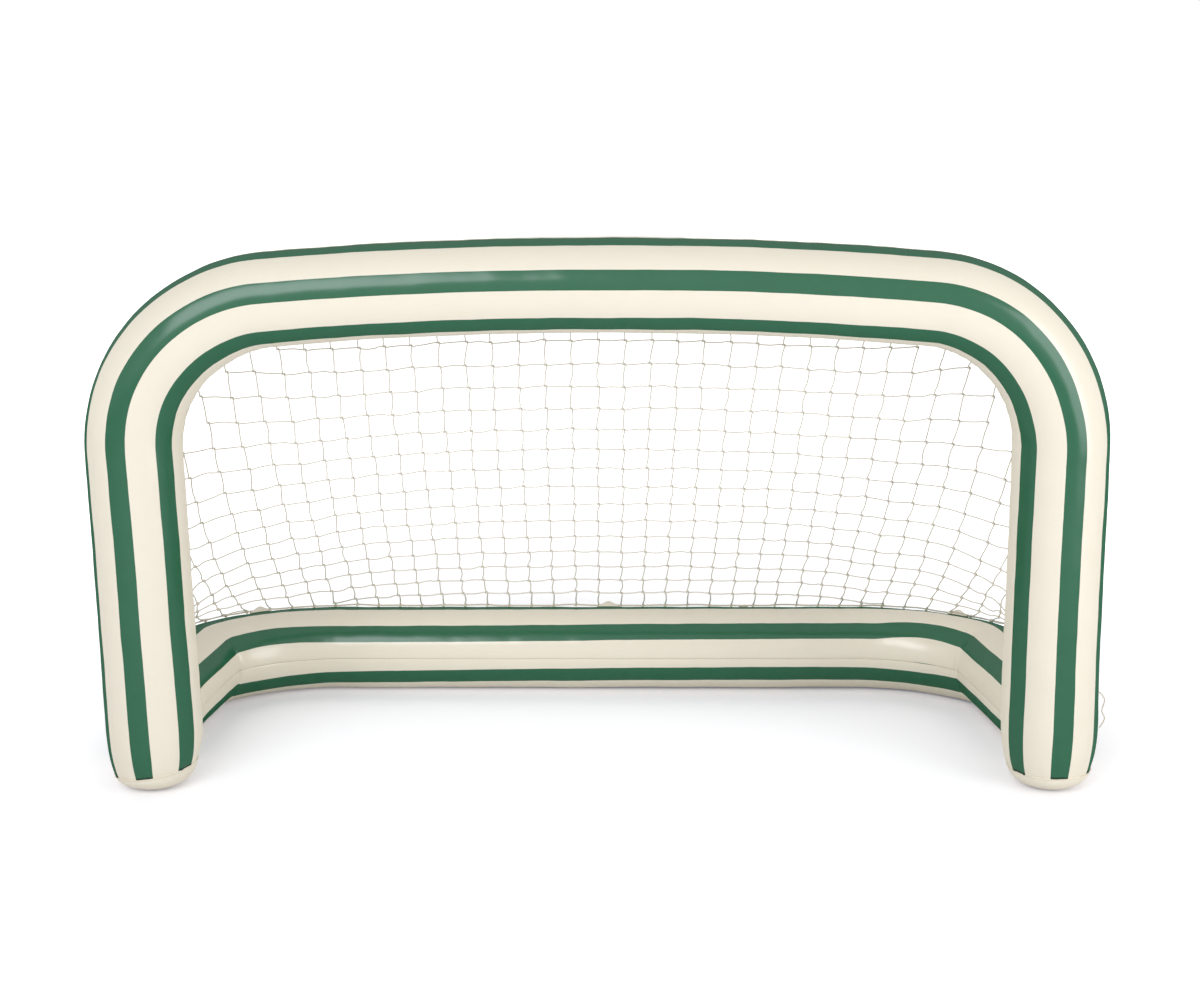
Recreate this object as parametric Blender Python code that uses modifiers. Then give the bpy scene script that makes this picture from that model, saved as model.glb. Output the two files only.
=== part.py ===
"""Inflatable floating goal.

A fat striped film tube forms the arch (two legs and a crossbar). A second tube, bent to a U,
lies on the ground behind it and holds the foot of the net. Metres, +Z up, +X to the right,
front towards -Y. The origin is on the ground, in the middle of the goal.
"""
import math

import bmesh
import bpy
from mathutils import Matrix, Vector

# Driving dimensions, metres unless the name says otherwise.
WIDTH = 1.500
HEIGHT = 0.830
TUBE_RADIUS = 0.0705
BASE_REACH = 0.469          # arch centre plane to the centre of the rear tube
SHOULDER_RADIUS = 0.217     # centreline, arch corners
CROSSBAR_HALF_ARC_DEG = 4.76
LEG_LEAN = 0.006            # sideways per metre of height, feet closer together
BASE_FOLD_BEHIND = 0.250    # the base's corners start this far behind the end weld
BASE_FOLD_FROM_DEG = 9.0    # heading of the side tube there, inwards from straight back
BASE_FOLD_TO_DEG = 47.0     # folded sharply on the inside as far as this, then an easy bend
BASE_FOLD_RADIUS = 0.078    # centreline
FILM = 0.0004
GAP = 0.0003

# Stripes: six round each tube, green, on cream.
STRIPE_COUNT = 6
STRIPE_DEG = 24.0
ARCH_ROLL_DEG = 9.0         # middle of the front stripe, outwards from straight ahead
BASE_ROLL_DEG = 36.0        # middle of the upper inside stripe of the base, above level
WELD_FLANGE = 0.005         # film turned into the chamber along each weld

# Feet and tube ends.
FOOT_WELD_HEIGHT = 0.029
FOOT_NECK = ((0.0, 0.0620), (0.018, 0.0655), (0.048, 0.0690), (0.085, TUBE_RADIUS))
FOOT_FLAT_RADIUS = 0.012
DISC_LIP = 0.0016
BASE_END_FROM_ARCH = 0.0935 # weld of the base tube's end disc, behind the arch centre plane
BASE_DOME = 0.021
BASE_END_OUT = 0.0240       # the base's ends stand this far outside the legs' centrelines
BASE_SIDE_OUT = (BASE_END_OUT, BASE_END_OUT, 0.0252, 0.0237)   # at the rings of the neck
BASE_SIDE = ((0.125, 0.0190), (0.185, 0.0100))      # behind the weld, outwards: on to the corner
COLLAR_RADIUS = 0.0668
COLLAR_FILM = 0.0006
COLLAR_SLANT = 0.0885       # slants out to the base's end as far behind the arch centre plane
COLLAR_REAR = 0.1112        # rear edge, behind the arch centre plane

# Net and what holds it.
NET_HALF = 0.636            # half the width of the back panel
BACK_COLUMNS = 16           # about 80 mm apart, two real meshes
BACK_ROWS = 8
SIDE_COLUMNS = 5
SIDE_ROWS = 5
SIDE_TOP_SHARE = 0.14       # the side panels start this far down the hips
SIDE_SEAM = 0.0035          # side panel clear of the back panel's edge cord
SIDE_START_BELOW = 0.03     # side panel's edge meets the leg's cord this far below the hip
SIDE_END_BEHIND = 0.05      # and the base's cord this far behind the end weld
NET_SAG = 0.027
HIP_SAG = 0.026             # more of it towards the hips, where the side panels pull
STRAND = 0.0020
BORDER_CORD = 0.0030
TAIL_CORD = 0.0020
CORD_RISE = 0.0040          # centre of the border cord above the film
CORD_END_HEIGHT = 0.175     # lower ends of the cord along the arch
KNOT_RADIUS = 0.0036
TAIL_STEPS = ((0, 0, 0), (0.012, -0.004, 0.006), (0.0215, -0.008, 0.0052), (0.0272, -0.010, -0.001),
              (0.0299, -0.010, -0.0095), (0.0264, -0.010, -0.025), (0.0315, -0.010, -0.036),
              (0.0287, -0.010, -0.045), (0.0244, -0.010, -0.0526))
ARCH_CORD_DEG = -132.0      # round the crossbar, from the front over the outside
LEG_CORD_DEG = -150.0       # and round the legs, where the cord has turned to the rear
CORD_TURN_FROM = 0.70       # the turn starts where the tube's outward direction rises this much
BASE_CORD_DEG = 117.0       # round the base tube, from the inside over the top
JOIN_CORD_ENDS = ((150, 0.024), (136, 0.034), (122, 0.050))    # angle, distance behind the end weld
LOOP_LENGTH = 0.036
BEND_LOOP_LENGTH = 0.022    # on the hollow side of the arch corners
LOOP_HALF_WIDTH = 0.0095
LOOP_RISE = 0.0078
LOOP_CREST = 0.0018         # half the width of its top

CROSSBAR_LOOPS = (-0.42, -0.21, 0.0, 0.21, 0.42)    # x
LEG_LOOPS = (0.25, 0.44, 0.68)                      # height
BASE_LOOP_MIDDLE = 0.02                             # x
BASE_LOOPS_LEFT = (0.206, 0.44)                     # behind the arch centre plane
BASE_LOOPS_RIGHT = (0.206, 0.423)

# Valves.
ARCH_VALVE_HEIGHT = 0.36
ARCH_VALVE_DEG = 150.0      # middle of a cream stripe's facet, rear outer side of the left leg
BASE_VALVE_X = 0.26
BASE_VALVE_DEG = 135.0
VALVE_FLANGE_RADIUS = 0.015
SEAT_BORE = 0.0066
SEAT_WALL = 0.0010
SEAT_DEPTH = 0.0080
SEAT_FLANGE_THICK = 0.0010
VALVE_CHAMFER = 0.0005
NECK_OUTER = 0.0061
NECK_BORE = 0.0040
NECK_UP = 0.0100
NECK_DOWN = 0.0070
PLUG_SHANK = 0.0034
PLUG_DEPTH = 0.0025
PLUG_CAP = 0.0068
CAP_THICK = 0.0016
TETHER_REACH = 0.0090
STRAP_WIDTH = 0.0040
STRAP_THICK = 0.0009
EAR_REACH = 0.0086          # ear on the neck that carries the strap's fold
FLAP_RADIUS = 0.0050
FLAP_THICK = 0.0006

# Worked out from the dimensions above.
ARCH_Y = -BASE_REACH / 2
REAR_Y = BASE_REACH / 2
BASE_Z = TUBE_RADIUS * math.cos(math.radians(STRIPE_DEG / 4))    # flat facet on the ground
LEG_X = WIDTH / 2 - TUBE_RADIUS
FRONT = Vector((0, -1, 0))
UP = Vector((0, 0, 1))
RING_SIDES = 24
CORD_CLEAR = LOOP_RISE - CORD_RISE + STRAND * 0.71 + GAP * 2     # net's edge to the cord's centre

CREAM = (0.890, 0.820, 0.715)
GREEN = (0.040, 0.180, 0.098)
CORD_BEIGE = (0.700, 0.640, 0.520)
VALVE_CLEAR = (0.780, 0.770, 0.730)


def clear_scene():
    for obj in list(bpy.data.objects):
        bpy.data.objects.remove(obj, do_unlink=True)


def new_collection(name):
    collection = bpy.data.collections.new(name)
    bpy.context.scene.collection.children.link(collection)
    return collection


clear_scene()
GOAL = new_collection("inflatable_floating_goal")
CUTTERS = new_collection("cutters")


def principled(name, color, roughness):
    material = bpy.data.materials.new(name)
    material.use_nodes = True
    shader = material.node_tree.nodes["Principled BSDF"]
    shader.inputs["Base Color"].default_value = (*color, 1)
    shader.inputs["Roughness"].default_value = roughness
    shader.inputs["Metallic"].default_value = 0.0
    material.diffuse_color = (*color, 1)
    return material


def add_object(name, mesh, materials, collection=GOAL):
    obj = bpy.data.objects.new(name, mesh)
    collection.objects.link(obj)
    for material in materials:
        mesh.materials.append(material)
    return obj


def mark_cutter(obj):
    obj.hide_render = True
    obj.display_type = 'WIRE'
    return obj


def bmesh_to_mesh(name, bm):
    mesh = bpy.data.meshes.new(name)
    bm.to_mesh(mesh)
    bm.free()
    return mesh


def smooth(obj, angle_deg=30):
    obj.data.shade_smooth()
    obj.data.set_sharp_from_angle(angle=math.radians(angle_deg))


def solidify(obj, thickness, offset=-1):
    modifier = obj.modifiers.new("film", 'SOLIDIFY')
    modifier.thickness = thickness
    modifier.offset = offset
    modifier.use_even_offset = True


def cut(obj, cutter):
    modifier = obj.modifiers.new("cut", 'BOOLEAN')
    modifier.operation = 'DIFFERENCE'
    modifier.object = cutter
    modifier.solver = 'EXACT'


class Ring:
    """One station of a tube: its centre, two axes of its section, and its radius."""

    def __init__(self, centre, zero, quarter, radius):
        self.centre = centre
        self.zero = zero
        self.quarter = quarter
        self.radius = radius

    def direction(self, angle_deg):
        angle = math.radians(angle_deg)
        return self.zero * math.cos(angle) + self.quarter * math.sin(angle)

    def at(self, angle_deg, radius=None):
        reach = self.radius if radius is None else radius
        return self.centre + self.direction(angle_deg) * reach


def arch_centreline():
    """Right half of the arch, foot to crown: (centre, outward direction) pairs."""
    crown_z = HEIGHT - TUBE_RADIUS
    arc = math.radians(CROSSBAR_HALF_ARC_DEG)
    shoulder_x = LEG_X - SHOULDER_RADIUS
    bar_radius = (shoulder_x / math.sin(arc)) + SHOULDER_RADIUS
    shoulder_z = crown_z - bar_radius + (bar_radius - SHOULDER_RADIUS) * math.cos(arc)
    points = []
    for step in range(9):
        turn = math.radians(90) - (math.radians(90) - arc) * step / 8
        out = Vector((math.sin(turn), 0, math.cos(turn)))
        points.append((Vector((shoulder_x, ARCH_Y, shoulder_z)) + out * SHOULDER_RADIUS, out))
    for step in range(1, 4):
        turn = arc * (1 - step / 3)
        out = Vector((math.sin(turn), 0, math.cos(turn)))
        points.append((Vector((0, ARCH_Y, crown_z - bar_radius)) + out * bar_radius, out))
    return points


def leg_centre(height):
    top = arch_centreline()[0][0]
    return Vector((top.x - LEG_LEAN * (top.z - height), ARCH_Y, height))


def arch_rings():
    """Whole arch, left foot to right foot."""
    right = []
    for rise, radius in FOOT_NECK:
        centre = leg_centre(FOOT_WELD_HEIGHT + GAP + rise)
        right.append(Ring(centre, FRONT, Vector((1, 0, 0)), radius))
    for centre, out in arch_centreline():
        right.append(Ring(centre, FRONT, out, TUBE_RADIUS))
    left = [mirrored(ring) for ring in right[:-1]]
    return left + right[::-1]


def mirrored(ring):
    flip = Matrix.Scale(-1, 3, Vector((1, 0, 0)))
    return Ring(flip @ ring.centre, flip @ ring.zero, flip @ ring.quarter, ring.radius)


def base_side():
    """Right side of the base: (centre, radius) pairs from the end weld to the folded corner."""
    end = leg_centre(BASE_Z) + Vector((0, BASE_END_FROM_ARCH, 0))
    side = []
    for (back, radius), out in zip(FOOT_NECK, BASE_SIDE_OUT):
        side.append((end + Vector((out, back, 0)), radius))
    for back, out in BASE_SIDE:
        side.append((end + Vector((out, back, 0)), TUBE_RADIUS))
    return side


def base_corner():
    """Right corner of the base: (centre, outward direction) pairs, a tight fold, then an easy bend."""
    start = leg_centre(BASE_Z) + Vector((0, BASE_END_FROM_ARCH + BASE_FOLD_BEHIND, 0))
    first, last = math.radians(BASE_FOLD_FROM_DEG), math.radians(BASE_FOLD_TO_DEG)
    middle = start - Vector((math.cos(first), math.sin(first), 0)) * BASE_FOLD_RADIUS
    points = []
    for step in range(5):
        turn = first + (last - first) * step / 4
        out = Vector((math.cos(turn), math.sin(turn), 0))
        points.append((middle + out * BASE_FOLD_RADIUS, out))
    folded, out = points[-1]
    radius = (REAR_Y - folded.y) / (1 - math.sin(last))
    middle = folded - out * radius
    for step in range(1, 7):
        turn = last + (math.pi / 2 - last) * step / 6
        out = Vector((math.cos(turn), math.sin(turn), 0))
        points.append((middle + out * radius, out))
    return points


def base_rings():
    """Whole base, left end round the back to the right end. Zero points into the goal."""
    corner = base_corner()
    side = base_side()
    right = []
    for number, (centre, radius) in enumerate(side):
        after = side[number + 1][0] if number + 1 < len(side) else corner[0][0]
        ahead = (after - side[number - 1][0]).normalized() if number > 1 else Vector((0, 1, 0))
        right.append(Ring(centre, Vector((-ahead.y, ahead.x, 0)), UP, radius))
    for centre, out in corner:
        right.append(Ring(centre, -out, UP, TUBE_RADIUS))
    left = [mirrored(ring) for ring in right]
    return left + right[::-1]


def stripe_edges(low_deg, high_deg, roll_deg):
    """Section angles between two welds: stripe edges, and one point inside each stripe."""
    period = 360 / STRIPE_COUNT
    angles = {low_deg, high_deg}
    for number in range(-STRIPE_COUNT, STRIPE_COUNT + 1):
        middle = roll_deg + number * period
        for angle in (middle - STRIPE_DEG / 2, middle, middle + STRIPE_DEG / 2, middle + period / 2):
            if low_deg + 1 < angle < high_deg - 1:
                angles.add(angle)
    return sorted(angles)


def is_green(angle_deg, roll_deg):
    period = 360 / STRIPE_COUNT
    off = (angle_deg - roll_deg + period / 2) % period - period / 2
    return abs(off) < STRIPE_DEG / 2


def striped_panel(name, rings, low_deg, high_deg, roll_deg, materials):
    """Half of a tube between two welds, with the film turned inwards along each weld."""
    angles = stripe_edges(low_deg, high_deg, roll_deg)
    slack = math.degrees(GAP / TUBE_RADIUS)
    angles[0] += slack
    angles[-1] -= slack
    bm = bmesh.new()
    rows = []
    for ring in rings:
        row = [bm.verts.new(ring.at(angles[0], ring.radius - WELD_FLANGE))]
        row += [bm.verts.new(ring.at(angle)) for angle in angles]
        row.append(bm.verts.new(ring.at(angles[-1], ring.radius - WELD_FLANGE)))
        rows.append(row)
    for row, following in zip(rows, rows[1:]):
        for column in range(len(row) - 1):
            face = bm.faces.new((row[column], row[column + 1], following[column + 1], following[column]))
            if 0 < column < len(row) - 2:
                middle = (angles[column - 1] + angles[column]) / 2
                face.material_index = int(is_green(middle, roll_deg))
    centre = rings[len(rings) // 2].centre
    bm.faces.ensure_lookup_table()
    bm.normal_update()
    probe = bm.faces[(len(rings) // 2) * (len(angles) + 1) + len(angles) // 2]
    if probe.normal.dot(probe.calc_center_median() - centre) < 0:
        bmesh.ops.reverse_faces(bm, faces=bm.faces[:])
    obj = add_object(name, bmesh_to_mesh(name, bm), materials)
    solidify(obj, FILM)
    smooth(obj)
    return obj


def turned(name, profile, materials, matrix, sides=RING_SIDES, collection=GOAL):
    """Profile of (radius, height) pairs turned about the object's own Z."""
    mesh = bpy.data.meshes.new(name)
    points = [(radius, 0, height) for radius, height in profile]
    closed = profile[0][0] > 0 and profile[-1][0] > 0
    edges = [(i, i + 1) for i in range(len(points) - 1)]
    if closed:
        edges.append((len(points) - 1, 0))
    mesh.from_pydata(points, edges, [])
    obj = add_object(name, mesh, materials, collection)
    modifier = obj.modifiers.new("turn", 'SCREW')
    modifier.axis = 'Z'
    modifier.steps = sides
    modifier.render_steps = sides
    modifier.use_merge_vertices = True
    modifier.merge_threshold = 0.00001
    obj.matrix_world = matrix
    smooth(obj)
    return obj


def dome_profile(rim_radius, flat_radius, depth):
    """Outer skin of a shallow dome that hangs below its rim, with a thin lip at the weld."""
    steps = 3
    skin = [(rim_radius + DISC_LIP, 0), (rim_radius, -FILM)]
    for step in range(1, steps + 1):
        turn = math.radians(90) * step / steps
        radius = flat_radius + (rim_radius - flat_radius) * math.cos(turn)
        skin.append((radius, -FILM - (depth - FILM) * math.sin(turn)))
    return skin + [(0, -depth)]


def end_disc(name, rim_radius, depth, matrix, materials):
    disc = turned(name, dome_profile(rim_radius, FOOT_FLAT_RADIUS, depth), materials, matrix)
    solidify(disc, FILM)
    return disc


def tube_along(name, points, diameter, materials, resolution=2):
    """Round cord through the given points, with filled caps."""
    curve = bpy.data.curves.new(name, 'CURVE')
    curve.dimensions = '3D'
    curve.bevel_depth = diameter / 2
    curve.bevel_resolution = resolution
    curve.use_fill_caps = True
    spline = curve.splines.new('POLY')
    spline.points.add(len(points) - 1)
    for slot, point in zip(spline.points, points):
        slot.co = (*point, 1)
    obj = bpy.data.objects.new(name, curve)
    GOAL.objects.link(obj)
    for material in materials:
        curve.materials.append(material)
    return obj


def smooth_route(points, spacing):
    """Points at about the given spacing on a smooth curve through the route's own points."""
    padded = [points[0] * 2 - points[1], *points, points[-1] * 2 - points[-2]]
    route = [points[0]]
    for p0, p1, p2, p3 in zip(padded, padded[1:], padded[2:], padded[3:]):
        count = max(1, round((p2 - p1).length / spacing))
        for step in range(1, count + 1):
            t = step / count
            route.append(0.5 * (2 * p1 + (p2 - p0) * t + (2 * p0 - 5 * p1 + 4 * p2 - p3) * t ** 2
                                + (3 * p1 - p0 - 3 * p2 + p3) * t ** 3))
    return route


def frame_matrix(origin, along, normal):
    """Axes of a piece that sits on film: local X runs along the tube, local Z points off it."""
    ahead = along.normalized()
    side = normal.cross(ahead).normalized()
    basis = Matrix((ahead, side, ahead.cross(side))).transposed().to_4x4()
    return Matrix.Translation(origin) @ basis


def film_loop(name, matrix, length, materials):
    """Strip of film welded down at both edges, raised in the middle over the border cord."""
    half, rise, film, crest = LOOP_HALF_WIDTH, LOOP_RISE, COLLAR_FILM, LOOP_CREST
    hem, hollow = half * 0.55, half * 0.5
    outer = [(-half, 0), (-half, film), (-hem, film), (-crest, rise),
             (crest, rise), (hem, film), (half, film), (half, 0)]
    inner = [(hollow, 0), (crest - film, rise - film), (film - crest, rise - film), (-hollow, 0)]
    bm = bmesh.new()
    outline = outer + inner
    ends = []
    for x in (-length / 2, length / 2):
        ends.append([bm.verts.new((x, y, z)) for y, z in outline])
    count = len(outline)
    for i in range(count):
        j = (i + 1) % count
        bm.faces.new((ends[0][i], ends[0][j], ends[1][j], ends[1][i]))
    bm.faces.new(ends[0][::-1])
    bm.faces.new(ends[1])
    bmesh.ops.recalc_face_normals(bm, faces=bm.faces[:])
    obj = add_object(name, bmesh_to_mesh(name, bm), materials)
    obj.matrix_world = matrix
    return obj


def facet_height(ring):
    """Height of a cream facet's middle above the tube's centreline."""
    facet_deg = (360 / STRIPE_COUNT - STRIPE_DEG) / 2
    return ring.radius * math.cos(math.radians(facet_deg / 2))


def interpolate_rings(rings, position):
    """Ring between stations, position counted in stations."""
    index = min(int(position), len(rings) - 2)
    t = position - index
    a, b = rings[index], rings[index + 1]
    zero = a.zero.lerp(b.zero, t).normalized()
    quarter = a.quarter.lerp(b.quarter, t).normalized()
    return Ring(a.centre.lerp(b.centre, t), zero, quarter, a.radius + (b.radius - a.radius) * t)


def ring_at(rings, test):
    """Ring where test(centre) changes sign, searched station by station."""
    for index in range(len(rings) - 1):
        low = test(rings[index].centre)
        high = test(rings[index + 1].centre)
        if low * high <= 0 and low != high:
            return interpolate_rings(rings, index + low / (low - high)), index
    raise ValueError("no such place on the tube")


def left_half(rings):
    return rings[:len(rings) // 2]


def right_half(rings):
    return rings[::-1][:len(rings) // 2]


def loop_on(name, rings, test, angle_deg, length=LOOP_LENGTH):
    """Film loop on a tube, over the border cord that runs along it."""
    ring, index = ring_at(rings, test)
    normal = ring.direction(angle_deg)
    along = rings[index + 1].centre - rings[index].centre
    lift = facet_height(ring) + GAP * 2
    place = frame_matrix(ring.centre + normal * lift, along, normal)
    return film_loop(name, place, length, plain_film)


def net_sheet(name, corners, columns, rows, materials):
    """Square-meshed net: a grid of faces whose edges become the cords.

    corners(u, v) gives the place of a knot, with u across and v down, both from 0 to 1.
    """
    bm = bmesh.new()
    grid = []
    for row in range(rows + 1):
        across = [corners(column / columns, row / rows) for column in range(columns + 1)]
        grid.append([bm.verts.new(place) for place in across])
    for row, following in zip(grid, grid[1:]):
        for a, b, c, d in zip(row, row[1:], following[1:], following):
            bm.faces.new((a, b, c, d))
    obj = add_object(name, bmesh_to_mesh(name, bm), materials)
    modifier = obj.modifiers.new("cords", 'WIREFRAME')
    modifier.thickness = STRAND
    modifier.use_boundary = True
    modifier.use_replace = True
    modifier.use_even_offset = True
    return obj


def polyline_at(points, share):
    """Point at the given share of a polyline's length."""
    lengths = [(b - a).length for a, b in zip(points, points[1:])]
    left = share * sum(lengths)
    for a, b, length in zip(points, points[1:], lengths):
        if left <= length:
            return a.lerp(b, left / length)
        left -= length
    return points[-1]


def make_arch():
    rings = arch_rings()
    striped_panel("arch_front_panel", rings, -90, 90, ARCH_ROLL_DEG, striped)
    striped_panel("arch_rear_panel", rings, 90, 270, ARCH_ROLL_DEG, striped)
    for side, sign in (("left", -1), ("right", 1)):
        centre = leg_centre(FOOT_WELD_HEIGHT)
        place = Matrix.Translation((centre.x * sign, centre.y, FOOT_WELD_HEIGHT))
        end_disc("arch_end_disc_" + side, FOOT_NECK[0][1], FOOT_WELD_HEIGHT, place, plain_film)
    return rings


def make_base():
    rings = base_rings()
    striped_panel("base_top_panel", rings, 0, 180, BASE_ROLL_DEG, striped)
    striped_panel("base_bottom_panel", rings, 180, 360, BASE_ROLL_DEG, striped)
    for side, sign in (("left", -1), ("right", 1)):
        weld_y = ARCH_Y + BASE_END_FROM_ARCH - GAP
        weld_x = leg_centre(BASE_Z).x + BASE_END_OUT
        place = Matrix.Translation((weld_x * sign, weld_y, BASE_Z))
        place = place @ Matrix.Rotation(math.radians(-90), 4, 'X')
        end_disc("base_end_disc_" + side, FOOT_NECK[0][1], BASE_DOME, place, plain_film)
    return rings


def leg_cutter(side, sign):
    """Solid the size of a leg's foot plus the working gap, to shape the collar's front edge."""
    clear_of_lip = DISC_LIP + GAP * 2
    neck = [(radius + clear_of_lip, rise) for rise, radius in reversed(FOOT_NECK)]
    dome = dome_profile(FOOT_NECK[0][1], FOOT_FLAT_RADIUS, FOOT_WELD_HEIGHT)[1:-1]
    dome = [(radius + clear_of_lip, height - clear_of_lip) for radius, height in dome]
    top, bottom = COLLAR_RADIUS * 3, -FOOT_WELD_HEIGHT - clear_of_lip
    profile = [(0, top), (TUBE_RADIUS + clear_of_lip, top), *neck, *dome, (0, bottom)]
    place = Matrix.Translation((leg_centre(BASE_Z).x * sign, ARCH_Y, FOOT_WELD_HEIGHT))
    return mark_cutter(turned("leg_cutter_" + side, profile, [], place, 48, CUTTERS))


def sleeve(name, centres, radius, thickness, materials):
    """Open sleeve of film through round sections that all face the same way as the base's ends."""
    bm = bmesh.new()
    rows = []
    for centre in centres:
        ring = Ring(centre, Vector((1, 0, 0)), UP, radius)
        angles = [360 * step / RING_SIDES for step in range(RING_SIDES)]
        rows.append([bm.verts.new(ring.at(angle)) for angle in angles])
    for row, following in zip(rows, rows[1:]):
        for column in range(RING_SIDES):
            beside = (column + 1) % RING_SIDES
            bm.faces.new((row[column], following[column], following[beside], row[beside]))
    obj = add_object(name, bmesh_to_mesh(name, bm), materials)
    solidify(obj, thickness)
    smooth(obj)
    return obj


def make_collars():
    """Welded sleeve at each side, slanting out from the leg to the base tube's end."""
    places = ((0, 0), (BASE_END_OUT, COLLAR_SLANT), (BASE_END_OUT, COLLAR_REAR))
    for side, sign in (("left", -1), ("right", 1)):
        leg = leg_centre(BASE_Z)
        centres = [Vector(((leg.x + out) * sign, leg.y + back, BASE_Z)) for out, back in places]
        collar = sleeve("join_collar_" + side, centres, COLLAR_RADIUS, COLLAR_FILM, plain_film)
        cut(collar, leg_cutter(side, sign))


def make_valve(prefix, panel, origin, along, normal):
    """Pop-up valve: seat welded in the film, sliding neck, tethered plug and check flap."""
    place = frame_matrix(origin, along, normal)
    seat_outer, seat_top = SEAT_BORE + SEAT_WALL, GAP + SEAT_FLANGE_THICK
    hole = seat_outer + GAP * 2
    bore = [(0, SEAT_DEPTH), (hole, SEAT_DEPTH), (hole, -SEAT_DEPTH), (0, -SEAT_DEPTH)]
    cut(panel, mark_cutter(turned(prefix + "_valve_cutter", bore, [], place, 16, CUTTERS)))
    seat = [(SEAT_BORE, seat_top), (VALVE_FLANGE_RADIUS - VALVE_CHAMFER, seat_top),
            (VALVE_FLANGE_RADIUS, GAP), (seat_outer, GAP), (seat_outer, -SEAT_DEPTH),
            (SEAT_BORE, -SEAT_DEPTH)]
    turned(prefix + "_valve_seat", seat, clear, place, 20)
    neck_profile = [(NECK_BORE, NECK_UP), (NECK_OUTER - VALVE_CHAMFER, NECK_UP),
                    (NECK_OUTER, NECK_UP - VALVE_CHAMFER), (NECK_OUTER, -NECK_DOWN),
                    (NECK_BORE, -NECK_DOWN)]
    neck = turned(prefix + "_valve_neck", neck_profile, clear, place, 20)
    fuse_tongue(neck, prefix + "_ear_form", place, EAR_REACH, NECK_OUTER - STRAP_THICK,
                NECK_UP - STRAP_THICK, STRAP_WIDTH)
    plug_cap(prefix, place)
    flap_profile = [(0, 0), (FLAP_RADIUS, 0), (FLAP_RADIUS, -FLAP_THICK), (0, -FLAP_THICK)]
    flap_place = place @ Matrix.Translation((0, 0, -NECK_DOWN - GAP))
    flap = turned(prefix + "_valve_flap", flap_profile, clear, flap_place, 16)
    hang_on(flap, prefix + "_flap_pivot", flap_place @ Matrix.Translation((-FLAP_RADIUS, 0, 0)))


def fuse_tongue(piece, name, place, outer, inner, bottom, width):
    """Join a thin flat tongue to a round piece, towards its local -X."""
    bm = bmesh.new()
    bmesh.ops.create_cube(bm, size=1)
    bmesh.ops.scale(bm, vec=(outer - inner, width, STRAP_THICK), verts=bm.verts[:])
    middle = (-(outer + inner) / 2, 0, bottom + STRAP_THICK / 2)
    bmesh.ops.translate(bm, vec=middle, verts=bm.verts[:])
    tongue = mark_cutter(add_object(name, bmesh_to_mesh(name, bm), [], CUTTERS))
    tongue.matrix_world = place
    modifier = piece.modifiers.new("tongue", 'BOOLEAN')
    modifier.operation = 'UNION'
    modifier.object = tongue
    modifier.solver = 'EXACT'


def hang_on(piece, name, matrix):
    """Parent a piece to an empty on its joint's axis, without moving it."""
    pivot = bpy.data.objects.new(name, None)
    GOAL.objects.link(pivot)
    pivot.matrix_world = matrix
    bpy.context.view_layer.update()
    piece.parent = pivot
    piece.matrix_parent_inverse = pivot.matrix_world.inverted()


def plug_cap(prefix, place):
    """Plug with its cap and the strap that it swings on."""
    rim = NECK_UP + GAP
    top, tip = rim + CAP_THICK, rim - PLUG_DEPTH
    cap = [(0, top), (PLUG_CAP - VALVE_CHAMFER, top), (PLUG_CAP, top - VALVE_CHAMFER), (PLUG_CAP, rim),
           (PLUG_SHANK, rim), (PLUG_SHANK - GAP, tip), (0, tip)]
    plug = turned(prefix + "_valve_plug", cap, clear, place, 16)
    fuse_tongue(plug, prefix + "_strap_form", place, TETHER_REACH + STRAP_THICK / 2,
                PLUG_CAP - STRAP_THICK, rim + STRAP_THICK * 0.2, STRAP_WIDTH)
    hang_on(plug, prefix + "_plug_pivot", place @ Matrix.Translation((-TETHER_REACH, 0, rim)))


def arch_cord_angle(ring):
    """Place of the border cord round the arch tube: below and behind the crossbar, behind the legs."""
    turned_back = max(0, 1 - ring.quarter.z / CORD_TURN_FROM)
    return ARCH_CORD_DEG + (LEG_CORD_DEG - ARCH_CORD_DEG) * turned_back


def arch_cord_route(arch):
    """Border cord along the rear inner side of the arch, from one leg to the other."""
    left_end, _ = ring_at(left_half(arch), lambda centre: centre.z - CORD_END_HEIGHT)
    right_end, _ = ring_at(right_half(arch), lambda centre: centre.z - CORD_END_HEIGHT)
    middle = [ring for ring in arch if ring.centre.z > CORD_END_HEIGHT]
    rings = (left_end, *middle, right_end)
    return [ring.at(arch_cord_angle(ring), ring.radius + CORD_RISE) for ring in rings]


def base_cord_route(base):
    """Border cord over the top of the base, down the outside of each join to its knot."""
    left = []
    for angle, behind_weld in (*JOIN_CORD_ENDS, (BASE_CORD_DEG, 0.070)):
        ring, _ = ring_at(base, lambda centre: centre.y - ARCH_Y - BASE_END_FROM_ARCH - behind_weld)
        left.append(ring.at(angle, ring.radius + CORD_RISE))
    middle = [ring.at(BASE_CORD_DEG, ring.radius + CORD_RISE) for ring in base[4:-4]]
    right = [Vector((-point.x, point.y, point.z)) for point in reversed(left)]
    return left + middle + right


def point_at_x(route, x):
    """Place on a route, above the ground, where it crosses the given x."""
    for a, b in zip(route, route[1:]):
        if (a.x - x) * (b.x - x) <= 0 and a.x != b.x:
            return a.lerp(b, (x - a.x) / (b.x - a.x))
    raise ValueError("route does not reach x")


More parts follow.
